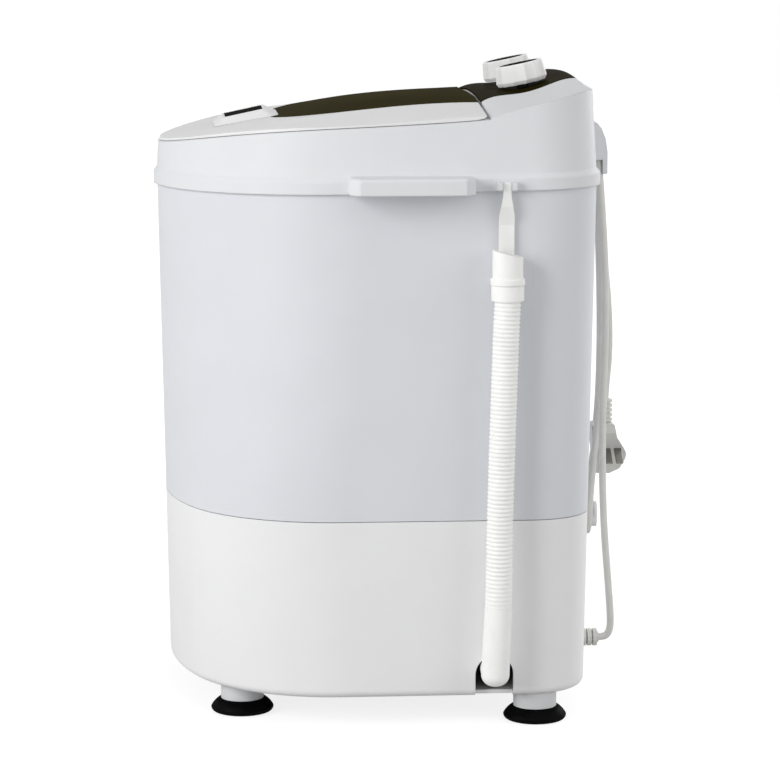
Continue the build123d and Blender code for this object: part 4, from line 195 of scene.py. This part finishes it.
class WasherStudioSettings(bpy.types.PropertyGroup):
    """Power of the lamps, the room's light and the camera's lens."""

    key: FloatProperty(
        name="Key lamp", description="Large soft lamp at the front", default=41.0, min=0.0, unit="POWER")
    fill: FloatProperty(
        name="Side lamp", description="Soft lamp beside the camera", default=11.0, min=0.0, unit="POWER")
    back: FloatProperty(
        name="Back lamp", description="Soft lamp behind the machine", default=18.0, min=0.0, unit="POWER")
    ambient: FloatProperty(
        name="Ambient light", description="Strength of the room's light from the walls and below",
        default=0.34, min=0.0)
    zenith: FloatProperty(
        name="Light from above", description="Strength of the room's light straight overhead",
        default=0.58, min=0.0)
    slant: FloatProperty(
        name="Light from the back", default=0.28, min=0.0,
        description="How much more light the back of the room gives than its middle")
    lens: FloatProperty(
        name="Lens", description="Focal length on a 36 mm sensor, in millimetres", default=136.7,
        min=10.0)


def settings():
    """The add-on's settings on the scene."""
    return bpy.context.scene.washer


# Node material helpers

def new_material(name):
    """An empty node material with an output and one Principled shader."""
    material = bpy.data.materials.new(name)
    material.use_nodes = True
    tree = material.node_tree
    tree.nodes.clear()
    output = tree.nodes.new("ShaderNodeOutputMaterial")
    shader = tree.nodes.new("ShaderNodeBsdfPrincipled")
    tree.links.new(shader.outputs["BSDF"], output.inputs["Surface"])
    return material, tree, shader


def object_noise(tree, scale, detail=3.0, stretch=(1.0, 1.0, 1.0)):
    """A noise texture on Object coordinates; its factor varies about one half."""
    place = tree.nodes.new("ShaderNodeTexCoord")
    turn = tree.nodes.new("ShaderNodeMapping")
    turn.inputs["Scale"].default_value = stretch
    noise = tree.nodes.new("ShaderNodeTexNoise")
    noise.inputs["Scale"].default_value = scale
    noise.inputs["Detail"].default_value = detail
    tree.links.new(place.outputs["Object"], turn.inputs["Vector"])
    tree.links.new(turn.outputs["Vector"], noise.inputs["Vector"])
    return noise.outputs["Fac"]


def vary_colour(tree, shader, factor, dark, light):
    """Colour between dark and light, where the factor runs from 0.35 to 0.65."""
    ramp = tree.nodes.new("ShaderNodeValToRGB")
    ramp.color_ramp.elements[0].position = 0.35
    ramp.color_ramp.elements[1].position = 0.65
    ramp.color_ramp.elements[0].color = (*dark, 1.0)
    ramp.color_ramp.elements[1].color = (*light, 1.0)
    tree.links.new(factor, ramp.inputs["Fac"])
    tree.links.new(ramp.outputs["Color"], shader.inputs["Base Color"])


def vary_roughness(tree, shader, factor, low, high):
    """Roughness between low and high, where the factor runs from 0.3 to 0.7."""
    remap = tree.nodes.new("ShaderNodeMapRange")
    remap.inputs["From Min"].default_value = 0.3
    remap.inputs["From Max"].default_value = 0.7
    remap.inputs["To Min"].default_value = low
    remap.inputs["To Max"].default_value = high
    tree.links.new(factor, remap.inputs["Value"])
    tree.links.new(remap.outputs["Result"], shader.inputs["Roughness"])


def raise_grain(tree, shader, factor, depth, edge=0.0):
    """A bump of the given depth in metres from the factor.

    With edge, the mesh's sharp edges are shaded as if rounded by that radius in metres.
    """
    bump = tree.nodes.new("ShaderNodeBump")
    bump.inputs["Strength"].default_value = 1.0
    bump.inputs["Distance"].default_value = depth
    tree.links.new(factor, bump.inputs["Height"])
    if edge:
        rounded = tree.nodes.new("ShaderNodeBevel")
        rounded.samples = 6
        rounded.inputs["Radius"].default_value = edge
        tree.links.new(rounded.outputs["Normal"], bump.inputs["Normal"])
    tree.links.new(bump.outputs["Normal"], shader.inputs["Normal"])


def scaled(colour, share):
    """A colour multiplied by a share, held at 1."""
    return tuple(min(1.0, channel * share) for channel in colour)


def moulded_plastic(name, colour, roughness, variation=0.012, grain=0.00002, gloss=0.3, edge=0.0):
    """Moulded plastic: faint mottling, fine orange peel, an uneven gloss and, with edge, softened edges."""
    material, tree, shader = new_material(name)
    shader.inputs["Specular IOR Level"].default_value = 0.0
    shader.inputs["Coat Weight"].default_value = gloss
    shader.inputs["Coat Roughness"].default_value = 0.3
    mottling = object_noise(tree, 14.0, detail=4.0)
    vary_colour(tree, shader, mottling, scaled(colour, 1 - variation), scaled(colour, 1 + variation))
    vary_roughness(tree, shader, object_noise(tree, 45.0), roughness - 0.04, roughness + 0.04)
    raise_grain(tree, shader, object_noise(tree, 900.0, detail=2.0), grain, edge=edge)
    return material


def smoked_plastic(name, colour, coat):
    """Dark polished plastic: a near-black body under a clear surface."""
    material, tree, shader = new_material(name)
    shader.inputs["IOR"].default_value = 1.49
    shader.inputs["Specular IOR Level"].default_value = 0.0
    shader.inputs["Coat Weight"].default_value = coat
    shader.inputs["Coat Roughness"].default_value = 0.05
    shader.inputs["Coat IOR"].default_value = 1.49
    vary_colour(
        tree, shader, object_noise(tree, 9.0, detail=5.0), scaled(colour, 0.85), scaled(colour, 1.2))
    vary_roughness(tree, shader, object_noise(tree, 60.0), 0.2, 0.3)
    raise_grain(tree, shader, object_noise(tree, 500.0, detail=2.0), 0.000008)
    return material


def flexible_plastic(name, colour, roughness, scatter=0.0, reach=0.004):
    """Soft plastic: a satin surface, into which light sinks where scatter is above nothing."""
    material, tree, shader = new_material(name)
    shader.inputs["IOR"].default_value = 1.5
    shader.inputs["Subsurface Weight"].default_value = scatter
    shader.inputs["Subsurface Radius"].default_value = (1.0, 0.95, 0.8)
    shader.inputs["Subsurface Scale"].default_value = reach
    vary_colour(
        tree, shader, object_noise(tree, 55.0, detail=4.0), scaled(colour, 0.975), scaled(colour, 1.02))
    vary_roughness(tree, shader, object_noise(tree, 120.0), roughness - 0.05, roughness + 0.05)
    raise_grain(tree, shader, object_noise(tree, 1400.0, detail=3.0), 0.00003)
    return material


def dull_rubber(name, colour):
    """Black rubber: a grainy dull surface with a weak sheen."""
    material, tree, shader = new_material(name)
    shader.inputs["IOR"].default_value = 1.5
    shader.inputs["Specular IOR Level"].default_value = 0.0
    shader.inputs["Coat Weight"].default_value = 0.06
    shader.inputs["Coat Roughness"].default_value = 0.4
    vary_colour(
        tree, shader, object_noise(tree, 80.0, detail=5.0), scaled(colour, 0.7), scaled(colour, 1.6))
    vary_roughness(tree, shader, object_noise(tree, 150.0), 0.42, 0.58)
    raise_grain(tree, shader, object_noise(tree, 1200.0, detail=3.0), 0.00004)
    return material


def bare_metal(name, colour, roughness, stretch=(1.0, 1.0, 1.0), depth=0.00001, scale=700.0):
    """Metal: fine drawn or cast grain, and patches that shine more than others."""
    material, tree, shader = new_material(name)
    shader.inputs["Metallic"].default_value = 1.0
    vary_colour(
        tree, shader, object_noise(tree, 30.0, detail=4.0), scaled(colour, 0.88), scaled(colour, 1.08))
    vary_roughness(tree, shader, object_noise(tree, 90.0), roughness - 0.07, roughness + 0.07)
    raise_grain(tree, shader, object_noise(tree, scale, stretch=stretch), depth)
    return material


def dress(material, *nodes):
    """Puts one material on CAD nodes, which keep their mesh."""
    for node in nodes:
        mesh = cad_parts[node].data
        mesh.materials.clear()
        mesh.materials.append(material)


# Surfaces worked out on grids

def into_scene(name, data):
    """A new object with the data, linked into the scene."""
    thing = bpy.data.objects.new(name, data)
    bpy.context.scene.collection.objects.link(thing)
    return thing


def smooth_skin(name, points, faces, material):
    """A smoothly shaded mesh object from lists of points and faces."""
    mesh = bpy.data.meshes.new(name)
    mesh.from_pydata(points, [], faces)
    mesh.materials.append(material)
    mesh.polygons.foreach_set("use_smooth", np.ones(len(faces), dtype=bool))
    mesh.update()
    return into_scene(name, mesh)


def ring_faces(rings, points, closed):
    """Quads from each ring of points to the next and, where closed, from the last ring to the first."""
    ring = np.arange(rings if closed else rings - 1)[:, None]
    point = np.arange(points)[None, :]
    after_ring, after_point = (ring + 1) % rings, (point + 1) % points
    return np.stack([
        ring * points + point, ring * points + after_point, after_ring * points + after_point,
        after_ring * points + point,
    ], axis=-1).reshape(-1, 4)


def closed_grid(name, rows, material):
    """A closed skin through rings of points, shape (rings, points, 3), of which the last joins the first."""
    faces = ring_faces(*rows.shape[:2], closed=True)
    return smooth_skin(name, rows.reshape(-1, 3).tolist(), faces.tolist(), material)


def turned_skin(name, rows, poles, material):
    """A closed skin through rings of points, shape (rings, points, 3), with a pole before and after them."""
    rings, points = rows.shape[:2]
    sides = ring_faces(rings, points, closed=False)
    edge = np.arange(points)
    edge_after = (edge + 1) % points
    last_ring = (rings - 1) * points
    start = np.stack([np.full(points, rings * points), edge_after, edge], axis=-1)
    end = np.stack([np.full(points, rings * points + 1), last_ring + edge, last_ring + edge_after], axis=-1)
    vertices = np.concatenate([rows.reshape(-1, 3), poles])
    return smooth_skin(name, vertices.tolist(), sides.tolist() + start.tolist() + end.tolist(), material)


def smooth_line(knots, samples):
    """Points on a cubic Hermite curve through the knots, with each knot's slope taken from its neighbours."""
    knots = np.asarray(knots, float)
    chord = np.concatenate([[0.0], np.cumsum(np.linalg.norm(np.diff(knots, axis=0), axis=1))])
    slope = np.gradient(knots, chord, axis=0)
    along = np.linspace(0.0, chord[-1], samples)
    piece = np.clip(np.searchsorted(chord, along, side="right") - 1, 0, len(chord) - 2)
    span = (chord[piece + 1] - chord[piece])[:, None]
    t = ((along - chord[piece])[:, None]) / span
    return (
        (2 * t ** 3 - 3 * t ** 2 + 1) * knots[piece] + (t ** 3 - 2 * t ** 2 + t) * span * slope[piece]
        + (3 * t ** 2 - 2 * t ** 3) * knots[piece + 1] + (t ** 3 - t ** 2) * span * slope[piece + 1]
    )


def level_tube(line, outer, inner, points):
    """Rings about a centre line: up the outside with the outer radii, then down the bore with the inner ones.

    A point is the centre plus the radius times cos a along +X, and times sin a along the line's heading
    crossed with +X.
    """
    angle = np.linspace(0.0, 2 * math.pi, points, endpoint=False)
    heading = np.gradient(line, axis=0)
    heading /= np.linalg.norm(heading, axis=1)[:, None]
    across = np.zeros_like(line)
    across[:, 0] = 1.0
    along = np.cross(heading, across)
    turn = angle[None, :, None]
    spread = np.cos(turn) * across[:, None, :] + np.sin(turn) * along[:, None, :]
    skin = line[:, None, :] + outer[:, None, None] * spread
    bore = line[:, None, :] + inner[:, None, None] * spread
    return np.concatenate([skin, bore[::-1]])


# Operators: one for each piece or group of like pieces, and one for the stage

class WASHER_OT_studio(bpy.types.Operator):
    """Places the camera, the lamps, the room's light and the floor."""

    bl_idname = "washer.studio"
    bl_label = "Studio"

    def execute(self, context):
        studio = settings().studio
        self.camera(studio)
        for name, setting, place, size in LAMPS:
            self.lamp(name, place, size, getattr(studio, setting))
        self.room(context, studio)
        self.floor()
        return {"FINISHED"}

    def camera(self, studio):
        """A camera without roll beside the hose, above the knobs and a little to the front, tilted down."""
        right = Vector((math.sin(CAMERA_HEADING), math.cos(CAMERA_HEADING), 0.0))
        level = Vector((-math.cos(CAMERA_HEADING), math.sin(CAMERA_HEADING), 0.0))
        look = level * math.cos(CAMERA_PITCH) + Vector((0.0, 0.0, -math.sin(CAMERA_PITCH)))
        up = right.cross(look)
        data = bpy.data.cameras.new("studio_camera")
        data.sensor_width = 36.0
        data.lens = studio.lens
        camera = into_scene("studio_camera", data)
        turn = Matrix((right, up, -look)).transposed().to_4x4()
        camera.matrix_world = Matrix.Translation(CAMERA_PLACE) @ turn
        bpy.context.scene.camera = camera

    def lamp(self, name, place, size, power):
        """A square soft lamp that faces the machine."""
        data = bpy.data.lights.new(name, "AREA")
        data.size = size
        data.energy = power
        lamp = into_scene(name, data)
        lamp.location = place
        lamp.rotation_euler = (Vector(LAMP_TARGET) - Vector(place)).to_track_quat("-Z", "Y").to_euler()

    def room(self, context, studio):
        """White to camera, gloss and clear plastic; otherwise a dim light, stronger above and behind."""
        world = bpy.data.worlds.new("studio_room")
        world.use_nodes = True
        tree = world.node_tree
        tree.nodes.clear()
        output = tree.nodes.new("ShaderNodeOutputWorld")
        back = tree.nodes.new("ShaderNodeBackground")
        rays = tree.nodes.new("ShaderNodeLightPath")
        seen = tree.nodes.new("ShaderNodeMath")
        seen.operation = "MAXIMUM"
        any_seen = tree.nodes.new("ShaderNodeMath")
        any_seen.operation = "MAXIMUM"
        place = tree.nodes.new("ShaderNodeTexCoord")
        split = tree.nodes.new("ShaderNodeSeparateXYZ")
        height = tree.nodes.new("ShaderNodeMapRange")
        height.inputs["To Min"].default_value = studio.ambient
        height.inputs["To Max"].default_value = studio.zenith
        slant = tree.nodes.new("ShaderNodeMath")
        slant.operation = "MULTIPLY_ADD"
        slant.inputs[1].default_value = studio.slant
        strength = tree.nodes.new("ShaderNodeMapRange")
        strength.inputs["To Max"].default_value = 1.0
        tree.links.new(place.outputs["Generated"], split.inputs["Vector"])
        tree.links.new(split.outputs["Z"], height.inputs["Value"])
        tree.links.new(split.outputs["Y"], slant.inputs[0])
        tree.links.new(height.outputs["Result"], slant.inputs[2])
        tree.links.new(slant.outputs[0], strength.inputs["To Min"])
        tree.links.new(rays.outputs["Is Camera Ray"], seen.inputs[0])
        tree.links.new(rays.outputs["Is Glossy Ray"], seen.inputs[1])
        tree.links.new(seen.outputs[0], any_seen.inputs[0])
        tree.links.new(rays.outputs["Is Transmission Ray"], any_seen.inputs[1])
        tree.links.new(any_seen.outputs[0], strength.inputs["Value"])
        tree.links.new(strength.outputs["Result"], back.inputs["Strength"])
        back.inputs["Color"].default_value = (1.0, 1.0, 1.0, 1.0)
        tree.links.new(back.outputs["Background"], output.inputs["Surface"])
        context.scene.world = world
        context.scene.view_settings.view_transform = "Standard"

    def floor(self):
        """A large floor: pale grey, but white to the camera outside the machine's soft shadow."""
        mesh = bpy.data.meshes.new("studio_floor")
        signs = ((-1, -1), (1, -1), (1, 1), (-1, 1))
        corners = [(x * FLOOR_HALF, y * FLOOR_HALF, FLOOR_HEIGHT) for x, y in signs]
        mesh.from_pydata(corners, [], [(0, 1, 2, 3)])
        material = bpy.data.materials.new("studio_floor_paper")
        material.use_nodes = True
        tree = material.node_tree
        tree.nodes.clear()
        output = tree.nodes.new("ShaderNodeOutputMaterial")
        paper = tree.nodes.new("ShaderNodeBsdfDiffuse")
        tone = tree.nodes.new("ShaderNodeMapRange")
        tone.inputs["To Min"].default_value = FLOOR_TONE
        tone.inputs["To Max"].default_value = FLOOR_TONE_SEEN
        place = tree.nodes.new("ShaderNodeTexCoord")
        reach = tree.nodes.new("ShaderNodeVectorMath")
        reach.operation = "LENGTH"
        far = tree.nodes.new("ShaderNodeMapRange")
        far.interpolation_type = "SMOOTHSTEP"
        far.inputs["From Min"].default_value, far.inputs["From Max"].default_value = FLOOR_GLOW_REACH
        far.inputs["To Min"].default_value, far.inputs["To Max"].default_value = FLOOR_GLOW
        tree.links.new(place.outputs["Object"], reach.inputs[0])
        tree.links.new(reach.outputs["Value"], far.inputs["Value"])
        glow = tree.nodes.new("ShaderNodeEmission")
        rays = tree.nodes.new("ShaderNodeLightPath")
        share = tree.nodes.new("ShaderNodeMath")
        share.operation = "MAXIMUM"
        level = tree.nodes.new("ShaderNodeMapRange")
        level.inputs["To Min"].default_value = 0.0
        both = tree.nodes.new("ShaderNodeAddShader")
        tree.links.new(rays.outputs["Is Camera Ray"], share.inputs[0])
        tree.links.new(rays.outputs["Is Glossy Ray"], share.inputs[1])
        tree.links.new(share.outputs[0], level.inputs["Value"])
        tree.links.new(far.outputs["Result"], level.inputs["To Max"])
        tree.links.new(share.outputs[0], tone.inputs["Value"])
        tree.links.new(tone.outputs["Result"], paper.inputs["Color"])
        tree.links.new(level.outputs["Result"], glow.inputs["Strength"])
        tree.links.new(paper.outputs["BSDF"], both.inputs[0])
        tree.links.new(glow.outputs["Emission"], both.inputs[1])
        tree.links.new(both.outputs["Shader"], output.inputs["Surface"])
        mesh.materials.append(material)
        floor = into_scene("studio_floor", mesh)


class WASHER_OT_housing(bpy.types.Operator):
    """Finishes the moulded housing: base, tub, top frame, lid, legs and what shares their plastics."""

    bl_idname = "washer.housing"
    bl_label = "Housing"

    def execute(self, context):
        shell = settings().shell
        dress(
            moulded_plastic("white_moulding", shell.white, shell.roughness, edge=0.001),
            "base_housing", "cord_hook")
        # Top frame, clip, cord hood and console floor: the base's white plastic, darker as painted shade.
        dress(
            moulded_plastic("top_moulding", shell.top, shell.roughness, gloss=0.12, edge=0.0018),
            "top_frame", "console_cover", "hose_clip", "cord_hood")
        # Lid frame and tab: the base's white plastic, darker as painted shade.
        dress(
            moulded_plastic("lid_moulding", shell.lid, shell.roughness, edge=0.0012), "lid_frame", "lid_tab")
        dress(
            moulded_plastic("tub_moulding", shell.tub, shell.roughness), "tub", "drain_grille", "pulsator")
        dress(
            moulded_plastic("leg_moulding", shell.leg, shell.roughness),
            *["leg_" + corner for corner in CORNERS])
        return {"FINISHED"}


class WASHER_OT_dark_panels(bpy.types.Operator):
    """Finishes the smoked lid window, the console inlay, the bare plate and the discs in the knobs."""

    bl_idname = "washer.dark_panels"
    bl_label = "Dark panels"

    def execute(self, context):
        smoke = settings().shell.smoke
        dress(smoked_plastic("smoked_window", scaled(smoke, 1.1), 0.022), "lid_window")
        dress(smoked_plastic("inlay_film", scaled(smoke, 0.5), 0.035), "control_inlay")
        dress(smoked_plastic("knob_disc", scaled(smoke, 0.4), 0.02), "timer_cap", "selector_cap")
        dress(smoked_plastic("bare_plate", scaled(smoke, 0.12), 0.02), "lid_plate")
        return {"FINISHED"}


class WASHER_OT_knobs(bpy.types.Operator):
    """Builds the two fluted knobs and finishes their shafts."""

    bl_idname = "washer.knobs"
    bl_label = "Knobs"

    def execute(self, context):
        shell = settings().shell
        plastic = moulded_plastic("knob_moulding", shell.knob, 0.3, gloss=0.15)
        dress(moulded_plastic("switch_shaft", shell.leg, 0.4), "timer_shaft", "selector_shaft")
        for body in ("timer", "selector"):
            low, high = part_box(body + "_knob")
            across = math.copysign(KNOB_ACROSS, low[0] + high[0])
            piece = self.fluted_knob(body + "_fluted_knob", across, plastic)
            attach(piece, body)
            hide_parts(body + "_knob")
        return {"FINISHED"}

    def fluted_knob(self, name, across, material):
        """A knob turned about an axis that leans to the front.

        Its radius is the profile's times a twelve-sided outline, whose sides are hollow by a thirtieth of it:
        cos(half) / cos(a) - (1 - (a / half) ** 2) / 30, with a measured from the middle of a side, and half
        the angle from there to the side's end.
        """
        profile = np.array(KNOB_PROFILE)
        around = np.linspace(0.0, 2 * math.pi, KNOB_SIDES * KNOB_SIDE_POINTS, endpoint=False)
        half = math.pi / KNOB_SIDES
        within = np.mod(around - KNOB_TURN, 2 * half) - half
        outline = math.cos(half) / np.cos(within) - (1 - (within / half) ** 2) / KNOB_HOLLOW
        share = profile[:, 2:3]
        radius = profile[:, :1] * (1 - share + share * outline[None, :])
        side = np.array([1.0, 0.0, 0.0])
        back = np.array([0.0, math.cos(KNOB_LEAN), math.sin(KNOB_LEAN)])
        axis = np.array([0.0, -math.sin(KNOB_LEAN), math.cos(KNOB_LEAN)])
        middle = np.array([across, KNOB_BACK, KNOB_HEIGHT])
        turn = around[None, :, None]
        rows = (
            middle + radius[..., None] * (np.cos(turn) * side + np.sin(turn) * back)
            + profile[:, 1, None, None] * axis
        )
        poles = middle + profile[[0, -1], 1][:, None] * axis
        return turned_skin(name, rows, poles, material)


class WASHER_OT_feet(bpy.types.Operator):
    """Finishes the four rubber feet."""

    bl_idname = "washer.feet"
    bl_label = "Feet"

    def execute(self, context):
        dress(
            dull_rubber("foot_rubber", (0.0022, 0.0022, 0.0024)),
            *["foot_" + corner for corner in CORNERS])
        return {"FINISHED"}


class WASHER_OT_drain_hose(bpy.types.Operator):
    """Builds the ribbed drain hose and finishes its boot and cuff."""

    bl_idname = "washer.drain_hose"
    bl_label = "Drain hose"

    def execute(self, context):
        hose = settings().hose
        soft = flexible_plastic("hose_plastic", hose.colour, 0.42, scatter=0.15, reach=0.003)
        dress(soft, "drain_boot", "hose_cuff")
        ribs = int((HOSE_LINE[-1][1] - HOSE_LINE[0][1]) / hose.pitch)
        back_height = smooth_line(HOSE_LINE, ribs * HOSE_PITCH_RINGS + 1)
        line = np.column_stack([np.full(len(back_height), hose.across), back_height])
        outer = self.rib_radii(hose, line[:, 2])
        inner = np.full(len(line), hose.bore_radius)
        piece = closed_grid("ribbed_drain_hose", level_tube(line, outer, inner, HOSE_RING_POINTS), soft)
        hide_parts("drain_hose")
        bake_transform(piece)
        return {"FINISHED"}

    def rib_radii(self, hose, height):
        """The outer radius at each ring, between the root's and the rib's.

        Its share of the way is 0.5 plus 0.75 times the cosine of the phase, held between 0 and 1, so crests
        and roots are flat. Near the boot the roots are filled up: their depth grows with the height.
        """
        phase = np.arange(len(height)) / HOSE_PITCH_RINGS
        crest = np.clip(0.5 + 0.75 * np.cos(2 * math.pi * phase), 0.0, 1.0)
        bare = np.clip((height - HOSE_LINE[0][1]) / HOSE_RIB_RISE, 0.0, 1.0)
        crest = 1 - (1 - crest) * bare
        return hose.root_radius + (hose.rib_radius - hose.root_radius) * crest


class WASHER_OT_power_cord(bpy.types.Operator):
    """Builds the power cord and finishes its strain relief and plug."""

    bl_idname = "washer.power_cord"
    bl_label = "Power cord"

    def execute(self, context):
        cord = settings().cord
        sheath = flexible_plastic("cord_sheath", cord.colour, 0.44)
        dress(sheath, "strain_relief", "plug_sleeve", "plug_body")
        dress(bare_metal("plug_blade_metal", (0.24, 0.23, 0.21), 0.4), "plug_blades")
        curve = bpy.data.curves.new("power_cord_run", "CURVE")
        curve.dimensions = "3D"
        curve.bevel_depth = cord.radius
        curve.bevel_resolution = 6
        curve.resolution_u = 12
        curve.use_fill_caps = True
        spline = curve.splines.new("NURBS")
        spline.points.add(len(CORD_ROUTE) - 1)
        weighted = np.column_stack([np.array(CORD_ROUTE), np.ones(len(CORD_ROUTE))])
        spline.points.foreach_set("co", weighted.ravel())
        spline.order_u = 3
        spline.use_endpoint_u = True
        curve.materials.append(sheath)
        piece = into_scene("power_cord_run", curve)
        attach(piece, "washer")
        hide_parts("power_cord")
        return {"FINISHED"}


class WASHER_OT_works(bpy.types.Operator):
    """Finishes the drive, the motor and the pipework inside the base."""

    bl_idname = "washer.works"
    bl_label = "Works"

    def execute(self, context):
        shell = settings().shell
        dress(
            dull_rubber("belt_rubber", (0.014, 0.014, 0.014)), "drive_belt", "motor_mounts", "shaft_seal")
        dress(dull_rubber("pipe_rubber", (0.060, 0.060, 0.064)), "drain_pipe")
        dress(
            bare_metal("zinc_plate", (0.56, 0.57, 0.60), 0.34), "pipe_clamp", "bearing_screws",
            "motor_screws", "capacitor_clamp", "pulley_nut", "pulsator_screw")
        dress(
            bare_metal("cast_metal", (0.52, 0.53, 0.55), 0.5, depth=0.00008, scale=420.0),
            "bearing_housing")
        dress(
            bare_metal("sintered_bronze", (0.50, 0.34, 0.17), 0.45, depth=0.00003),
            "upper_bush", "lower_bush")
        dress(
            bare_metal("turned_steel", (0.58, 0.58, 0.60), 0.26, stretch=(1.0, 1.0, 30.0)),
            "pulsator_shaft", "rotor_shaft", "lid_hinge_pins", "motor_pulley")
        dress(
            moulded_plastic("switch_case", (0.030, 0.030, 0.033), 0.5, variation=0.15),
            "timer_body", "selector_body", "large_pulley")
        dress(
            moulded_plastic("motor_lacquer", (0.085, 0.090, 0.098), 0.38, variation=0.12, grain=0.00005),
            "motor")
        dress(moulded_plastic("capacitor_case", scaled(shell.white, 0.9), 0.5), "capacitor")
        return {"FINISHED"}


OPERATORS = (
    WASHER_OT_studio, WASHER_OT_power_cord, WASHER_OT_drain_hose, WASHER_OT_housing, WASHER_OT_dark_panels,
    WASHER_OT_knobs, WASHER_OT_feet, WASHER_OT_works,
)


class WasherSettings(bpy.types.PropertyGroup):
    """Everything that can be set on the machine."""

    shell: PointerProperty(type=WasherShellSettings)
    hose: PointerProperty(type=WasherHoseSettings)
    cord: PointerProperty(type=WasherCordSettings)
    studio: PointerProperty(type=WasherStudioSettings)


class WASHER_PT_panel(bpy.types.Panel):
    """Lists the settings and the operators."""

    bl_idname = "WASHER_PT_panel"
    bl_label = "Washer"
    bl_space_type = "VIEW_3D"
    bl_region_type = "UI"
    bl_category = "Washer"

    def draw(self, context):
        layout = self.layout
        for group in (settings().shell, settings().hose, settings().cord, settings().studio):
            column = layout.column(align=True)
            for key in group.bl_rna.properties.keys():
                if key not in {"rna_type", "name"}:
                    column.prop(group, key)
        for operator in OPERATORS:
            layout.operator(operator.bl_idname)


CLASSES = (
    WasherShellSettings, WasherHoseSettings, WasherCordSettings, WasherStudioSettings, WasherSettings,
    *OPERATORS, WASHER_PT_panel,
)


def register():
    """Adds the classes to Blender, and the settings to its scenes."""
    for cls in CLASSES:
        bpy.utils.register_class(cls)
    bpy.types.Scene.washer = PointerProperty(type=WasherSettings)


def unregister():
    """Takes away what register adds."""
    del bpy.types.Scene.washer
    for cls in reversed(CLASSES):
        bpy.utils.unregister_class(cls)


def main():
    """Registers the add-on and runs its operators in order."""
    register()
    for operator in OPERATORS:
        group, name = operator.bl_idname.split(".")
        getattr(getattr(bpy.ops, group), name)()


if __name__ == "__main__":
    main()
